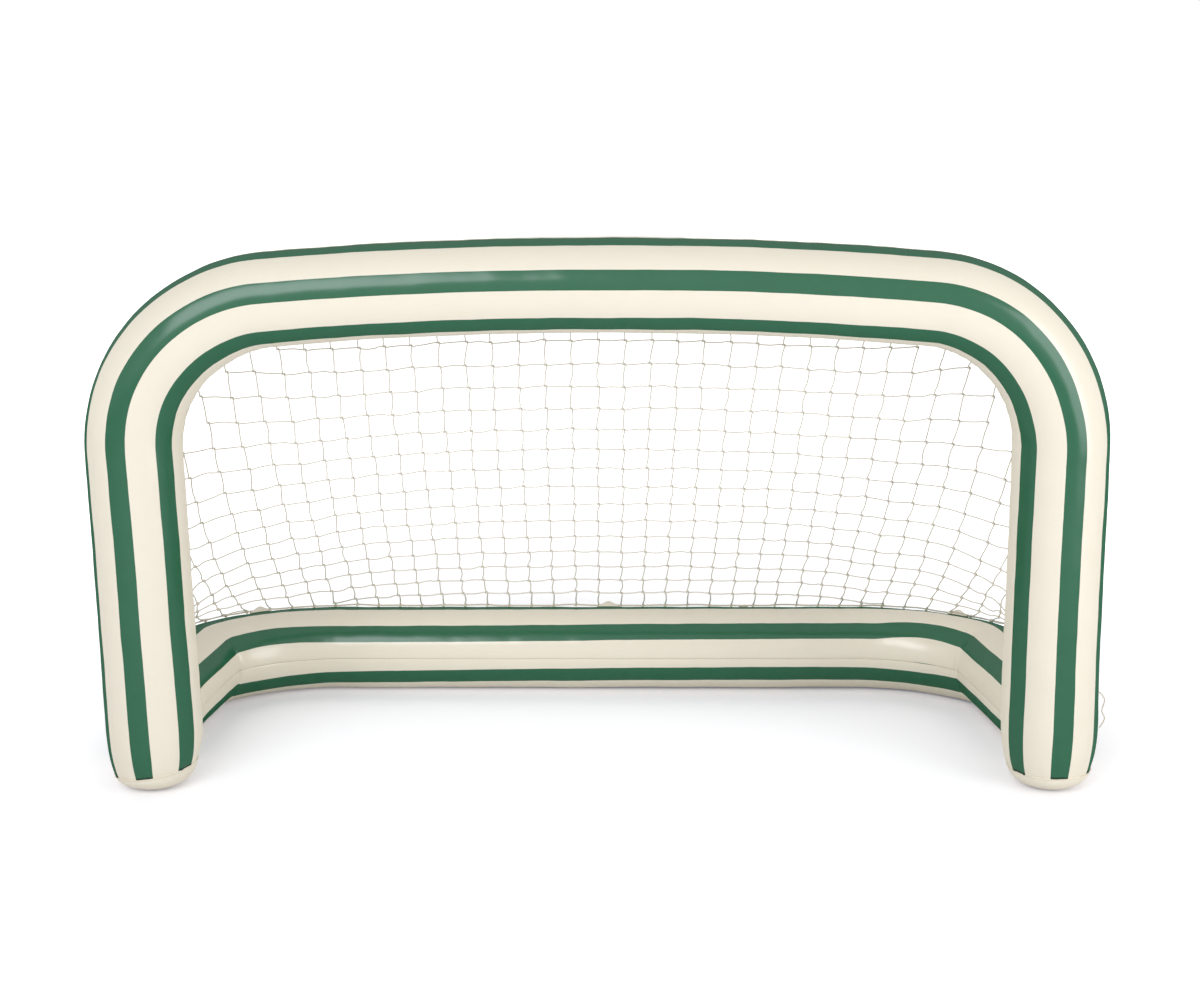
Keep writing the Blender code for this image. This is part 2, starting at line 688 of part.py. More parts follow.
def make_net(arch, base):
    """Net in three panels between the two border cords."""
    top = [point for point in arch_cord_route(arch) if abs(point.x) < NET_HALF + 0.02]
    foot = base_cord_route(base)
    foot = [point for point in foot if point.y > ARCH_Y + BASE_END_FROM_ARCH + BASE_FOLD_BEHIND]

    def back(u, v):
        x = NET_HALF * (2 * u - 1)
        start, end = point_at_x(top, x), point_at_x(foot, x)
        down = (end - start).normalized()
        start, end = start + down * CORD_CLEAR, end - down * CORD_CLEAR
        sag_way = down.cross(Vector((1, 0, 0))).normalized()
        sag = NET_SAG + HIP_SAG * (2 * u - 1) ** 4
        return start.lerp(end, v) + sag_way * (sag * 4 * v * (1 - v))

    net_sheet("net_back", back, BACK_COLUMNS, BACK_ROWS, cord)
    side_net("net_left", back, arch, base, 0, -1)
    side_net("net_right", back, arch, base, 1, 1)


def side_net(name, back, arch, base, hip, sign):
    """Side panel, from the hip of the net forward to the leg, and down to the base."""
    highest, foremost = back(hip, 0).z - SIDE_START_BELOW, ARCH_Y + BASE_END_FROM_ARCH + SIDE_END_BEHIND
    leg_route = [point for point in arch_cord_route(arch) if point.x * sign > 0 and point.z < highest]
    leg_route.sort(key=lambda point: -point.z)
    foot_route = [point for point in base_cord_route(base) if point.x * sign > NET_HALF]
    foot_route = [point for point in foot_route if point.y > foremost]
    foot_route.sort(key=lambda point: -point.y)
    inward = Vector((-sign, 0, 0))
    leg_edge = [back(hip, 0)]
    leg_edge += [point + Vector((0, CORD_CLEAR, 0)) for point in leg_route]
    leg_edge.append(foot_route[-1] + UP * CORD_CLEAR)
    foot_edge = [back(hip, 1)] + [point + UP * CORD_CLEAR for point in foot_route]

    def side(u, v):
        height = SIDE_TOP_SHARE + (1 - SIDE_TOP_SHARE) * v
        hip_point = back(hip, height) + inward * -SIDE_SEAM
        leg_point = polyline_at(leg_edge, height)
        lower = polyline_at(foot_edge, u) - foot_edge[0].lerp(foot_edge[-1], u)
        return hip_point.lerp(leg_point, u) + lower * height ** 2

    net_sheet(name, side, SIDE_COLUMNS, SIDE_ROWS, cord)


def make_border_cords(arch, base):
    tube_along("border_cord_arch", arch_cord_route(arch), BORDER_CORD, cord)
    route = base_cord_route(base)
    tube_along("border_cord_base", route, BORDER_CORD, cord)
    knot("left", route[0] + (route[0] - route[1]).normalized() * (KNOT_RADIUS + GAP))
    right_knot = route[-1] + (route[-1] - route[-2]).normalized() * (KNOT_RADIUS + GAP)
    knot("right", right_knot)
    onward = (Vector(TAIL_STEPS[1]) - Vector(TAIL_STEPS[0])).normalized()
    points = [right_knot + onward * (KNOT_RADIUS + GAP) + Vector(step) for step in TAIL_STEPS]
    tube_along("cord_tail_right", smooth_route(points, TAIL_CORD * 2.5), TAIL_CORD, cord)


def knot(side, place):
    """Rounded overhand knot on the end of the base's border cord."""
    bm = bmesh.new()
    bmesh.ops.create_uvsphere(bm, u_segments=10, v_segments=6, radius=KNOT_RADIUS)
    name = "tie_knot_" + side
    obj = add_object(name, bmesh_to_mesh(name, bm), cord)
    obj.location = place
    smooth(obj)


def make_loops(arch, base):
    """Film loops that hold the border cord on the arch and on the base."""
    for number, x in enumerate(CROSSBAR_LOOPS, 1):
        loop_on(f"crossbar_loop_{number}", arch, lambda centre: centre.x - x, ARCH_CORD_DEG)
    for side, leg in (("left", left_half(arch)), ("right", right_half(arch))):
        for number, height in enumerate(LEG_LOOPS, 1):
            ring, _ = ring_at(leg, lambda centre: centre.z - height)
            length = LOOP_LENGTH if ring.quarter.z == 0 else BEND_LOOP_LENGTH
            name, angle = f"leg_loop_{side}_{number}", arch_cord_angle(ring)
            loop_on(name, leg, lambda centre: centre.z - height, angle, length)
    loop_on("base_loop_middle", base, lambda centre: centre.x - BASE_LOOP_MIDDLE, BASE_CORD_DEG)
    for side, tube, places in (("left", left_half(base), BASE_LOOPS_LEFT),
                               ("right", right_half(base), BASE_LOOPS_RIGHT)):
        for number, behind in enumerate(places, 1):
            name = f"base_loop_{side}_{number}"
            loop_on(name, tube, lambda centre: centre.y - ARCH_Y - behind, BASE_CORD_DEG)


def make_valves(arch, base):
    ring, index = ring_at(left_half(arch), lambda centre: centre.z - ARCH_VALVE_HEIGHT)
    normal = ring.direction(ARCH_VALVE_DEG)
    origin = ring.centre + normal * facet_height(ring)
    panel = bpy.data.objects["arch_rear_panel"]
    make_valve("arch", panel, origin, arch[index + 1].centre - ring.centre, normal)
    ring, index = ring_at(base, lambda centre: centre.x - BASE_VALVE_X)
    normal = ring.direction(BASE_VALVE_DEG)
    origin = ring.centre + normal * facet_height(ring)
    panel = bpy.data.objects["base_top_panel"]
    make_valve("base", panel, origin, base[index + 1].centre - ring.centre, normal)


striped = [principled("film_cream", CREAM, 0.42), principled("film_green", GREEN, 0.42)]
plain_film = [striped[0]]
cord = [principled("net_cord", CORD_BEIGE, 0.85)]
clear = [principled("valve_plastic", VALVE_CLEAR, 0.30)]

arch_stations = make_arch()
base_stations = make_base()
make_collars()
make_valves(arch_stations, base_stations)
make_loops(arch_stations, base_stations)
make_border_cords(arch_stations, base_stations)
make_net(arch_stations, base_stations)
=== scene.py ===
"""Looks of the inflatable floating goal: its film tubes, net, cords and finishes.

Metres, +Z up, +X to the right, front towards -Y, origin on the ground in the middle of the goal.
"""
import math

import bpy
import numpy as np
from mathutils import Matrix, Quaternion, Vector


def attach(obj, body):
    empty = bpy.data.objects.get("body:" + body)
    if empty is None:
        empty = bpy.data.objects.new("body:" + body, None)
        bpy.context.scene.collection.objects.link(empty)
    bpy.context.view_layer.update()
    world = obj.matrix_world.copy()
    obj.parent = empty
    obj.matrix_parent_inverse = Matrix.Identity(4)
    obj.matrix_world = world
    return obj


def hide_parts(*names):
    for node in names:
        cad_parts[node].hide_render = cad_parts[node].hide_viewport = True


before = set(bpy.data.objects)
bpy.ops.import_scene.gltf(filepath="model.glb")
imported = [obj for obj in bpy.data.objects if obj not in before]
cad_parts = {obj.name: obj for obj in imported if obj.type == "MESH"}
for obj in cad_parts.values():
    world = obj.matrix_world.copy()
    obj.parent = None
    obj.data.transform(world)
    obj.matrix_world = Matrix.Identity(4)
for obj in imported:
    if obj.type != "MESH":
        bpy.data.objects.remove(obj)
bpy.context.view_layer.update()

# Driving dimensions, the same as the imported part's.
ARCH_Y, REAR_Y = -0.2345, 0.2345
HEIGHT = 0.830
TUBE = 0.0705                       # radius of both tubes
LEG_X = 0.6795                      # leg's middle, just under the arch corner
SHOULDER = 0.217                    # centreline radius, arch corners
BAR_ARC = math.radians(4.76)        # half the slight arc of the crossbar
LEG_LEAN = 0.006                    # inwards per metre downwards
BASE_Z = 0.0701
LEG_ABOVE_BASE = 0.4534             # straight part of a leg above the middle of the base
BASE_END_OUT = 0.0240               # the base's ends stand this far outside the legs' middles
BASE_SIDE = ((0, BASE_END_OUT), (0.018, BASE_END_OUT), (0.048, 0.0252), (0.085, 0.0237),
             (0.125, 0.0190), (0.185, 0.0100))
FOLD_BEHIND, FOLD_RADIUS = 0.250, 0.078
FOLD_FROM, FOLD_TO = math.radians(9), math.radians(47)
BASE_END_Y = ARCH_Y + 0.0935        # weld of the base tube's front ends
FOOT_WELD = 0.029                   # height of the feet's welds, and depth of their discs
BASE_DOME = 0.021                   # depth of the base's end discs
DISC_FLAT = 0.012                   # radius of the flat in the middle of a disc
COLLAR_RADIUS, COLLAR_SLANT, COLLAR_REAR = 0.0664, 0.0885, 0.1112
WELD_RADIUS = 0.0620                # the tubes draw in to this at their end welds
NECK_LENGTH, NECK_POWER = 0.085, 3.0
END_STATIONS = np.array([0.0, 0.0007, 0.002, 0.004, 0.007, 0.011])  # close together beside a weld
STATION_STEP = 0.009                # and this far apart along the rest
FILM, LOOP_FILM = 0.0006, 0.0005    # thickness shown
FLOOR = 0.0003                      # lowest that the film's outside lies

# Stripes: six round each tube.
STRIPE_PITCH, STRIPE_HALF = 60, 12.2
BASE_TOP_ROLL, BASE_BOTTOM_ROLL = 39, 34

# How the inflated arch strays from its true shape. By the distance from each foot's weld along
# the tube: shift to the right, shift upwards, change of radius, and the stripes' roll in degrees.
LEFT_HALF = ((0.000, 0.0023, 0, 0, 4.0), (0.031, 0.0027, 0, 0.0012, 4.5),
             (0.081, 0.0028, 0, 0.0018, 5.7), (0.131, 0.0022, 0, 0.0010, 5.7),
             (0.181, 0.0013, 0, 0.0006, 6.0), (0.231, 0.0005, 0, 0.0003, 6.4),
             (0.331, 0, 0, 0, 6.7), (0.431, -0.0018, 0, 0, 7.5),
             (0.495, -0.0020, 0, 0, 8.6), (0.571, -0.0012, -0.0005, 0, 12.1),
             (0.647, -0.0004, -0.0015, 0, 14.4), (0.710, 0, -0.0022, 0, 15.5),
             (0.760, 0, -0.0005, -0.0005, 15.0), (0.817, 0, 0.0015, -0.0010, 14.0),
             (0.950, 0, 0.0025, -0.0015, 13.2), (1.298, 0, 0.0025, -0.0015, 12.3))
RIGHT_HALF = ((0.000, 0.0115, 0, 0, 2.0), (0.031, 0.0095, 0, 0.0012, 2.8),
              (0.081, 0.0076, 0, 0.0018, 4.3), (0.131, 0.0060, 0, 0.0010, 4.7),
              (0.181, 0.0052, 0, 0.0006, 4.5), (0.231, 0.0042, 0, 0.0003, 4.6),
              (0.331, 0.0030, 0, 0, 4.4), (0.431, 0.0015, 0, 0, 5.3),
              (0.495, 0.0005, 0, 0, 5.7), (0.571, 0, 0.0005, 0, 6.0),
              (0.647, 0, 0.0015, 0, 9.0), (0.723, 0, 0.0025, 0, 12.4),
              (0.817, 0, 0.0035, -0.0012, 13.6), (1.100, 0, 0.0032, -0.0015, 13.4),
              (1.298, 0, 0.0025, -0.0015, 12.3))
BASE_ENDS_RIGHT = (0.0028, 0.0080)  # the base's left and right end follow the feet
LEFT_WELD_SLOPE = 0.15              # the left foot's weld is lower on its outer side

# Twist of the base's stripes in degrees, left and right, by the distance from the base's ends.
TWIST_PLACES = (0.10, 0.20, 0.27, 0.31, 0.35, 0.39, 0.44, 0.49, 0.60, 0.80, 1.05)
TOP_TWIST = ((-4, -4, -3, -2, 0, 0, -1, -3, -3, -2, 0), (4, 3, 4, 6, 9, 10, 7, 2, 2, 1, 0))
BOTTOM_TWIST = ((-4, -4, -6, -8, -9, -9, -8, -7, -5, -2, 0), (2, 2, 2, 2, 1, 0, 0, 1, 2, 1, 0))

# Border cords and what holds them.
CORD_LIFT = 0.0040                  # cord's centre above the film
CORD_DIAMETER = 0.0030
BAR_CORD_DEG, LEG_CORD_DEG, CORD_TURN_FROM = -132, -150, 0.70
CORD_END_HEIGHT = 0.175
BASE_CORD_DEG = 117
JOIN_CORD_ENDS = ((150, 0.024), (136, 0.034), (122, 0.050))    # angle, distance behind the end weld
JOIN_CORD_LENGTH = 0.070            # from the end weld to where the cord lies along the base
BAR_LOOPS = (-0.42, -0.21, 0.0, 0.21, 0.42)
LEG_LOOPS = (0.25, 0.44, 0.68)
BASE_LOOP_MIDDLE = 0.02
BASE_LOOPS = {"left": (0.206, 0.44), "right": (0.206, 0.423)}
LOOP_LENGTH, BEND_LOOP_LENGTH = 0.036, 0.022
LOOP_HALF_WIDTH, LOOP_RISE = 0.0095, 0.0078
LOOP_PEAK = 0.004                   # the cord pulls some loops of the base up this much more
KNOT_RADIUS = 0.0036
PLY_DEPTH = 0.16                    # grooves between the plies, as a share of the cord's radius

# Loose end of cord outside the right leg, traced from the photo.
TAIL_DIAMETER = 0.0020
TAIL_ROUTE = ((0.7669, -0.1200, 0.1040), (0.7710, -0.1214, 0.1063), (0.7751, -0.1227, 0.1085),
              (0.7789, -0.1240, 0.1100), (0.7841, -0.1262, 0.1104), (0.7884, -0.1280, 0.1092),
              (0.7917, -0.1293, 0.1066), (0.7941, -0.1300, 0.1030), (0.7961, -0.1302, 0.0994),
              (0.7968, -0.1300, 0.0945), (0.7958, -0.1300, 0.0897), (0.7941, -0.1300, 0.0841),
              (0.7933, -0.1300, 0.0790), (0.7958, -0.1300, 0.0731), (0.7984, -0.1300, 0.0680),
              (0.7976, -0.1300, 0.0633), (0.7956, -0.1300, 0.0590), (0.7936, -0.1300, 0.0551),
              (0.7913, -0.1300, 0.0514))

# Middles of the smooth film under the valves, between the seats and the plugs' hinges.
ARCH_VALVE_HEIGHT, ARCH_VALVE_DEG = 0.353, 150
BASE_VALVE_X, BASE_VALVE_DEG = 0.255, 135
VALVE_PATCH = 0.034

# Net.
HIP_X = 0.636                       # half the width of the back panel
HALF_COLUMNS, ROWS = 16, 15
MESH_ACROSS = 0.03975               # sixteen meshes from the middle to each hip
MESH_DOWN = 0.0459
FIRST_ROW = 0.042
NET_SAG, HIP_SAG = 0.027, 0.026
STRAND = 0.0024                     # diameter
NET_DRAW = 0.019                    # uprights stand this far inwards at the base, 0.6 m off the middle
DROP_X = np.array([0.30, 0.40, 0.517, 0.596, 0.637])  # beside the corners the rows lie higher
DROP_TOP = np.array([0, 0.003, 0.034, 0.113, 0.192])
DROP_EASE = np.array([0, 0.012, 0.074, 0.107, 0.121])
ROW_FROM_TOP, ROW_FROM_FOOT = 0.012, 0.008  # no knot is closer to the border cords
SIDE_BILLOW = 0.026                 # outwards, in the middle of the side panels
SIDE_DROP = 0.020                   # the side rows end this much lower on the leg
SIDE_FRONT = -0.091                 # front end of the side panels' foot
SIDES = (("left", -1), ("right", 1))
RIGHT, FORWARDS, DOWN = np.array([1.0, 0, 0]), np.array([0, -1.0, 0]), np.array([0, 0, -1.0])
OFF_NET, ROW_SLACK = np.array([0, -0.7, -0.7]), np.array([0, 0.5, -0.6])


def tone(red, green, blue):
    """Linear colour of an 8-bit screen colour."""
    return tuple((c / 255 / 12.92) if c <= 10 else ((c / 255 + 0.055) / 1.055) ** 2.4
                 for c in (red, green, blue))


# Camera of the photo, which looks down a little.
CAMERA_PLACE, CAMERA_DOWN_DEG = (0.003, -2.9715, 1.076), 13.0
SENSOR_WIDTH, LENS = 36.0, 57.0     # millimetres


def make_camera():
    data = bpy.data.cameras.new("photo_camera")
    data.sensor_width, data.lens = SENSOR_WIDTH, LENS
    camera = bpy.data.objects.new("photo_camera", data)
    camera.location = CAMERA_PLACE
    camera.rotation_euler = (math.radians(90 - CAMERA_DOWN_DEG), 0, 0)
    bpy.context.scene.collection.objects.link(camera)
    bpy.context.scene.camera = camera


# Finishes.

class Value:
    """A shader value. Arithmetic written on it in Python adds the Math nodes that work it out."""

    def __init__(self, nodes, socket):
        self.nodes = nodes
        self.socket = socket

    def math(self, operation, *others):
        return self.nodes.add("Math", {"operation": operation}, dict(enumerate((self, *others))))

    def __add__(self, other):
        return self.math('ADD', other)

    def __sub__(self, other):
        return self.math('SUBTRACT', other)

    def __rsub__(self, other):
        return self.nodes.add("Math", {"operation": 'SUBTRACT'}, {0: other, 1: self})

    def __mul__(self, other):
        return self.math('MULTIPLY', other)

    def __truediv__(self, other):
        return self.math('DIVIDE', other)

    def __mod__(self, other):
        return self.math('FLOORED_MODULO', other)

    def __abs__(self):
        return self.math('ABSOLUTE')

    def limited(self):
        return self.nodes.add("Clamp", {}, {"Value": self})

    __radd__, __rmul__ = __add__, __mul__


class Nodes:
    """Node tree of a material or of the world."""

    def __init__(self, owner):
        owner.use_nodes = True
        self.tree = owner.node_tree

    def feed(self, socket, value):
        if isinstance(value, Value):
            self.tree.links.new(value.socket, socket)
        elif isinstance(value, tuple) and len(value) == 3 and socket.type == 'RGBA':
            socket.default_value = (*value, 1)
        else:
            socket.default_value = value

    def add(self, kind, settings, sockets, output=0):
        """Add a node, set it up, feed its sockets and give back one of its outputs."""
        node = self.tree.nodes.new("ShaderNode" + kind)
        for name, value in settings.items():
            setattr(node, name, value)
        for name, value in sockets.items():
            self.feed(node.inputs[name], value)
        return Value(self, node.outputs[output])


class Finish(Nodes):
    """A material under construction, with its Principled shader."""

    def __init__(self, name, **constants):
        self.material = bpy.data.materials.new(name)
        super().__init__(self.material)
        self.shader = self.tree.nodes["Principled BSDF"]
        self.wear(**constants)

    def attribute(self, name):
        return self.add("Attribute", {"attribute_name": name}, {}, "Fac")

    def place(self, stretch=(1, 1, 1)):
        where = self.add("TexCoord", {}, {}, "Object")
        return self.add("VectorMath", {"operation": 'MULTIPLY'}, {0: where, 1: stretch})

    def noise(self, scale, detail=3, roughness=0.5, vector=None):
        sockets = {"Vector": vector or self.place(), "Scale": scale, "Detail": detail}
        return self.add("TexNoise", {}, {**sockets, "Roughness": roughness}, "Fac")

    def mix(self, share, first, second):
        return self.add("Mix", {"data_type": 'RGBA'}, {0: share, 6: first, 7: second}, 2)

    def bump(self, height, strength, distance):
        sockets = {"Height": height, "Strength": strength, "Distance": distance}
        return self.add("Bump", {}, sockets, "Normal")

    def wear(self, **sockets):
        """Feed the shader's own sockets and give back the material."""
        for name, value in sockets.items():
            self.feed(self.shader.inputs[name.replace("_", " ")], value)
        return self.material


def film_surface(film):
    """Unevenness of soft printed film: a fine leather-like grain and faint stretch lines."""
    grain = film.noise(900, 2, 0.55)
    cloudy = film.noise(38, 3, 0.6)
    run, around = film.attribute("run"), film.attribute("around")
    lines = film.add("CombineXYZ", {}, {"X": run * 9, "Y": around * 0.42, "Z": 0.0})
    stretch = film.noise(1.0, 3, 0.6, lines)
    height = grain * 0.35 + cloudy * 0.4 + stretch * 0.6
    return film.bump(height, 0.22, 0.0006), cloudy, stretch


def film_gloss(film):
    """Share of the film's gloss layer: soft film glints less where it turns away."""
    facing = film.add("LayerWeight", {}, {"Blend": 0.5}, "Facing")
    return (1 - facing * 1.05).limited()


FILM_LAYER = {"Specular_IOR_Level": 0.0, "Coat_Roughness": 0.19, "Coat_IOR": 1.55}


def striped_film():
    """Cream film with green stripes printed along the tube, a little darker along the welds; beside the end
    welds a ragged band is darkened as a painted shadow under the weld's lip.
    """
    film = Finish("striped_film", **FILM_LAYER)
    normal, cloudy, stretch = film_surface(film)
    stripe = film.attribute("stripe")
    weld, end = film.attribute("weld"), film.attribute("end")
    wander = film.noise(26, 2) * 0.9 - 0.45
    across = abs((stripe + STRIPE_PITCH / 2 + wander) % STRIPE_PITCH - STRIPE_PITCH / 2)
    green = ((STRIPE_HALF - across) / 0.35 + 0.5).limited()
    # A ragged band beside the end welds is darkened in cream and print: a painted shadow under the weld's
    # lip.
    ragged = film.noise(300, 2) * 0.0036
    painted_end_shadow = (1 - (end - 0.0016 - ragged) / 0.0007).limited()
    at_weld = (1 - weld / 0.0016).limited()
    cream = film.mix((cloudy * 0.7 + stretch * 0.4).limited(), tone(243, 235, 218), tone(239, 230, 211))
    cream = film.mix(at_weld * 0.2 + painted_end_shadow * 0.2, cream, tone(224, 211, 186))
    print_tone = film.mix(cloudy, tone(35, 97, 67), tone(40, 103, 72))
    print_tone = film.mix((painted_end_shadow * 0.9 + at_weld * 0.4).limited(), print_tone, tone(14, 42, 30))
    color = film.mix(green, cream, print_tone)
    roughness = 0.30 + cloudy * 0.10 + at_weld * 0.12 + green * 0.02
    return film.wear(Base_Color=color, Roughness=roughness, Normal=normal, Coat_Weight=film_gloss(film))


def plain_film():
    """Unprinted cream film of the end discs, collars and loops."""
    film = Finish("cream_film", **FILM_LAYER)
    cloudy = film.noise(45, 3, 0.6)
    grain = film.noise(900, 2, 0.55)
    weld = film.attribute("weld")
    at_weld = (1 - weld / 0.0035).limited()
    color = film.mix(cloudy, tone(242, 234, 217), tone(238, 229, 210))
    color = film.mix(at_weld * 0.3, color, tone(230, 218, 194))
    normal = film.bump(grain * 0.4 + cloudy * 0.6, 0.22, 0.0006)
    roughness = 0.34 + cloudy * 0.1
    return film.wear(Base_Color=color, Roughness=roughness, Normal=normal, Coat_Weight=film_gloss(film))


def spun_cord():
    """Soft spun fibre of the net and its cords; grooves between the plies are darker, a painted shadow."""
    cord = Finish("spun_cord", IOR=1.45, Specular_IOR_Level=0.25)
    fibre = cord.noise(1500, 3, 0.7)
    patches = cord.noise(55, 2)
    groove = cord.attribute("groove")
    # Painted shadow in the grooves between the plies, mixed with random fibre and patch tone.
    groove_shadow_and_fibre_tone = (groove * 0.75 + fibre * 0.35 + patches * 0.3 - 0.25).limited()
    color = cord.mix(groove_shadow_and_fibre_tone, tone(236, 230, 217), tone(206, 194, 171))
    return cord.wear(Base_Color=color, Roughness=0.82 + fibre * 0.12, Normal=cord.bump(fibre, 0.5, 0.0003))


def soft_vinyl():
    """Milky clear vinyl of the valves."""
    vinyl = Finish("soft_vinyl", IOR=1.5, Transmission_Weight=0.25, Subsurface_Weight=0.2)
    vinyl.shader.inputs["Subsurface Radius"].default_value = (0.004, 0.004, 0.003)
    cloudy = vinyl.noise(160, 3)
    color = vinyl.mix(cloudy, tone(226, 223, 212), tone(210, 206, 192))
    normal = vinyl.bump(vinyl.noise(700, 2), 0.15, 0.0004)
    return vinyl.wear(Base_Color=color, Roughness=0.24 + cloudy * 0.12, Normal=normal)


# Meshes.

def mesh_object(name, points, faces, finish, **attributes):
    """Smooth-shaded mesh object; each attribute is one number a point, or spreads to all of them."""
    mesh = bpy.data.meshes.new(name)
    mesh.from_pydata(points.reshape(-1, 3).tolist(), [], faces.tolist())
    for key, values in attributes.items():
        layer = mesh.attributes.new(key, 'FLOAT', 'POINT')
        spread = np.broadcast_to(values, points.shape[:-1])
        layer.data.foreach_set("value", spread.ravel().astype(np.float32))
    mesh.materials.append(finish)
    mesh.shade_smooth()
    obj = bpy.data.objects.new(name, mesh)
    bpy.context.scene.collection.objects.link(obj)
    return obj


def grid_faces(rows, columns, closed=False, start=0):
    """Quads of a grid of points; closed joins the last column to the first."""
    row = np.arange(rows - 1)[:, None] * columns
    column = np.arange(columns if closed else columns - 1)[None, :]
    following = (column + 1) % columns
    corners = (row + column, row + following, row + columns + following, row + columns + column)
    return np.stack(corners, -1).reshape(-1, 4) + start


def settle(obj, node):
    """Tie a finished piece to the goal and hide the solid that it stands for."""
    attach(obj, "goal")
    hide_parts(node)
    return obj


def film_piece(name, points, faces, finish, slot, node, thickness=FILM, **attributes):
    """Piece of film, thickened inwards from its outer side and kept off the floor."""
    points[..., 2] = np.maximum(points[..., 2], FLOOR)
    piece = mesh_object(name, points, faces, finish, **attributes)
    modifier = piece.modifiers.new("film", 'SOLIDIFY')
    modifier.thickness = thickness
    modifier.offset = -1
    modifier.use_rim = True
    settle(piece, node)


def unit(vectors):
    return vectors / np.linalg.norm(vectors, axis=-1, keepdims=True)


def spaced(first, last, step):
    return np.linspace(first, last, max(2, int(abs(last - first) / step) + 1))


def run_of(path):
    """Distance along a path at each of its points."""
    return np.concatenate([[0], np.cumsum(np.linalg.norm(np.diff(path, axis=0), axis=1))])


def sorted_by(axis, points):
    return points[np.argsort(points[:, axis], kind="stable")]


def bell(away, width):
    return np.exp(-(away / width) ** 2)


def blurred(values, width):
    """Values along a tube, each evened out with its neighbours."""
    window = np.hanning(width)
    return np.convolve(np.pad(values, width // 2, 'edge'), window / window.sum(), 'valid')


def turned(zero, quarter, angle):
    """Direction at an angle from one axis towards another."""
    return zero * np.cos(angle) + quarter * np.sin(angle)


def waves(seed, along, around, lengths, harmonics):
    """Smooth unevenness between about -1 and 1, from sine waves along and round a tube."""
    draw = np.random.default_rng(seed)
    total = 0
    for length in lengths:
        for harmonic in harmonics:
            shift = draw.uniform(0, math.tau, 2)
            along_wave = np.sin(math.tau * along / length + shift[0])
            total = total + along_wave * np.sin(harmonic * np.radians(around) + shift[1])
    return total / math.sqrt(len(lengths) * len(harmonics))


# Tubes.

class Tube:
    """Stations along a tube, each with a centre, two axes of its section, and its bend."""

    def __init__(self, centre, zero, quarter, bend):
        self.centre, self.zero, self.quarter, self.bend = centre, zero, quarter, bend
        self.run = run_of(centre)
        self.end = np.minimum(self.run, self.run[-1] - self.run)
        drawn_in = np.clip(1 - self.end / NECK_LENGTH, 0, 1) ** NECK_POWER
        self.radius = TUBE - (TUBE - WELD_RADIUS) * drawn_in

    def stray(self, left, right):
        """Shift the stations of both halves, change their radius and give the stripes' roll there."""
        on_left = self.centre[:, 0] < 0
        ways = [np.where(on_left, *[np.interp(self.end, *np.array(half)[:, [0, column]].T)
                                    for half in (left, right)]) for column in range(1, 5)]
        ways = [blurred(way, 11) for way in ways]
        self.centre[:, 0] += ways[0]
        self.centre[:, 2] += ways[1]
        self.radius += ways[2]
        return ways[3]

    def outwards(self, station, angle_deg):
        return turned(self.zero[station], self.quarter[station], math.radians(angle_deg))

    def ahead(self, station):
        return unit(self.centre[station + 1] - self.centre[station - 1])

    def station(self, axis, value, side=0):
        """Station whose centre is nearest to a place; side -1 or 1 keeps to one half."""
        miss = np.abs(self.centre[:, axis] - value)
        if side:
            miss = np.where(self.centre[:, 0] * side > 0, miss, np.inf)
        return int(np.argmin(miss))


def both_halves(centre, zero, quarter, bend):
    """Whole tube from its right half, which runs from the end to the middle."""
    flip = np.array([-1, 1, 1])
    joined = [np.concatenate([half * flip, half[-2::-1]]) for half in (centre, zero, quarter)]
    return Tube(*joined, np.concatenate([bend, bend[-2::-1]]))


def arch_tube():
    step = STATION_STEP
    crown = HEIGHT - TUBE
    shoulder_x = LEG_X - SHOULDER
    bar = shoulder_x / math.sin(BAR_ARC) + SHOULDER
    shoulder_z = crown - bar + (bar - SHOULDER) * math.cos(BAR_ARC)
    foot = FOOT_WELD + END_STATIONS
    height = np.concatenate([foot, spaced(FOOT_WELD + 0.016, shoulder_z, step)])
    legs = np.stack([LEG_X - LEG_LEAN * (shoulder_z - height), 0 * height, height], 1)
    turn = spaced(math.pi / 2, BAR_ARC, step / SHOULDER)[1:]
    corner_out = np.stack([np.sin(turn), 0 * turn, np.cos(turn)], 1)
    corner = np.array([shoulder_x, 0, shoulder_z]) + corner_out * SHOULDER
    turn = spaced(BAR_ARC, 0, step / bar)[1:]
    bar_out = np.stack([np.sin(turn), 0 * turn, np.cos(turn)], 1)
    crossbar = np.array([0, 0, crown - bar]) + bar_out * bar
    centre = np.concatenate([legs, corner, crossbar]) + np.array([0, ARCH_Y, 0])
    out = np.concatenate([np.tile([1.0, 0, 0], (len(legs), 1)), corner_out, bar_out])
    front = np.tile([0.0, -1, 0], (len(centre), 1))
    bend = np.repeat([0.0, 1, 0], [len(legs), len(corner), len(crossbar)])
    return both_halves(centre, front, out, bend)


def eased(x, knots, values):
    """Smooth curve through points, level at its start."""
    slopes = np.gradient(values, knots)
    slopes[0] = 0
    place = np.clip(np.searchsorted(knots, x, 'right') - 1, 0, len(knots) - 2)
    width = knots[place + 1] - knots[place]
    t = (x - knots[place]) / width
    rise = values[place + 1] - values[place]
    bend = slopes[place] * width - rise, rise - slopes[place + 1] * width
    return values[place] + rise * t + t * (1 - t) * ((1 - t) * bend[0] + t * bend[1])


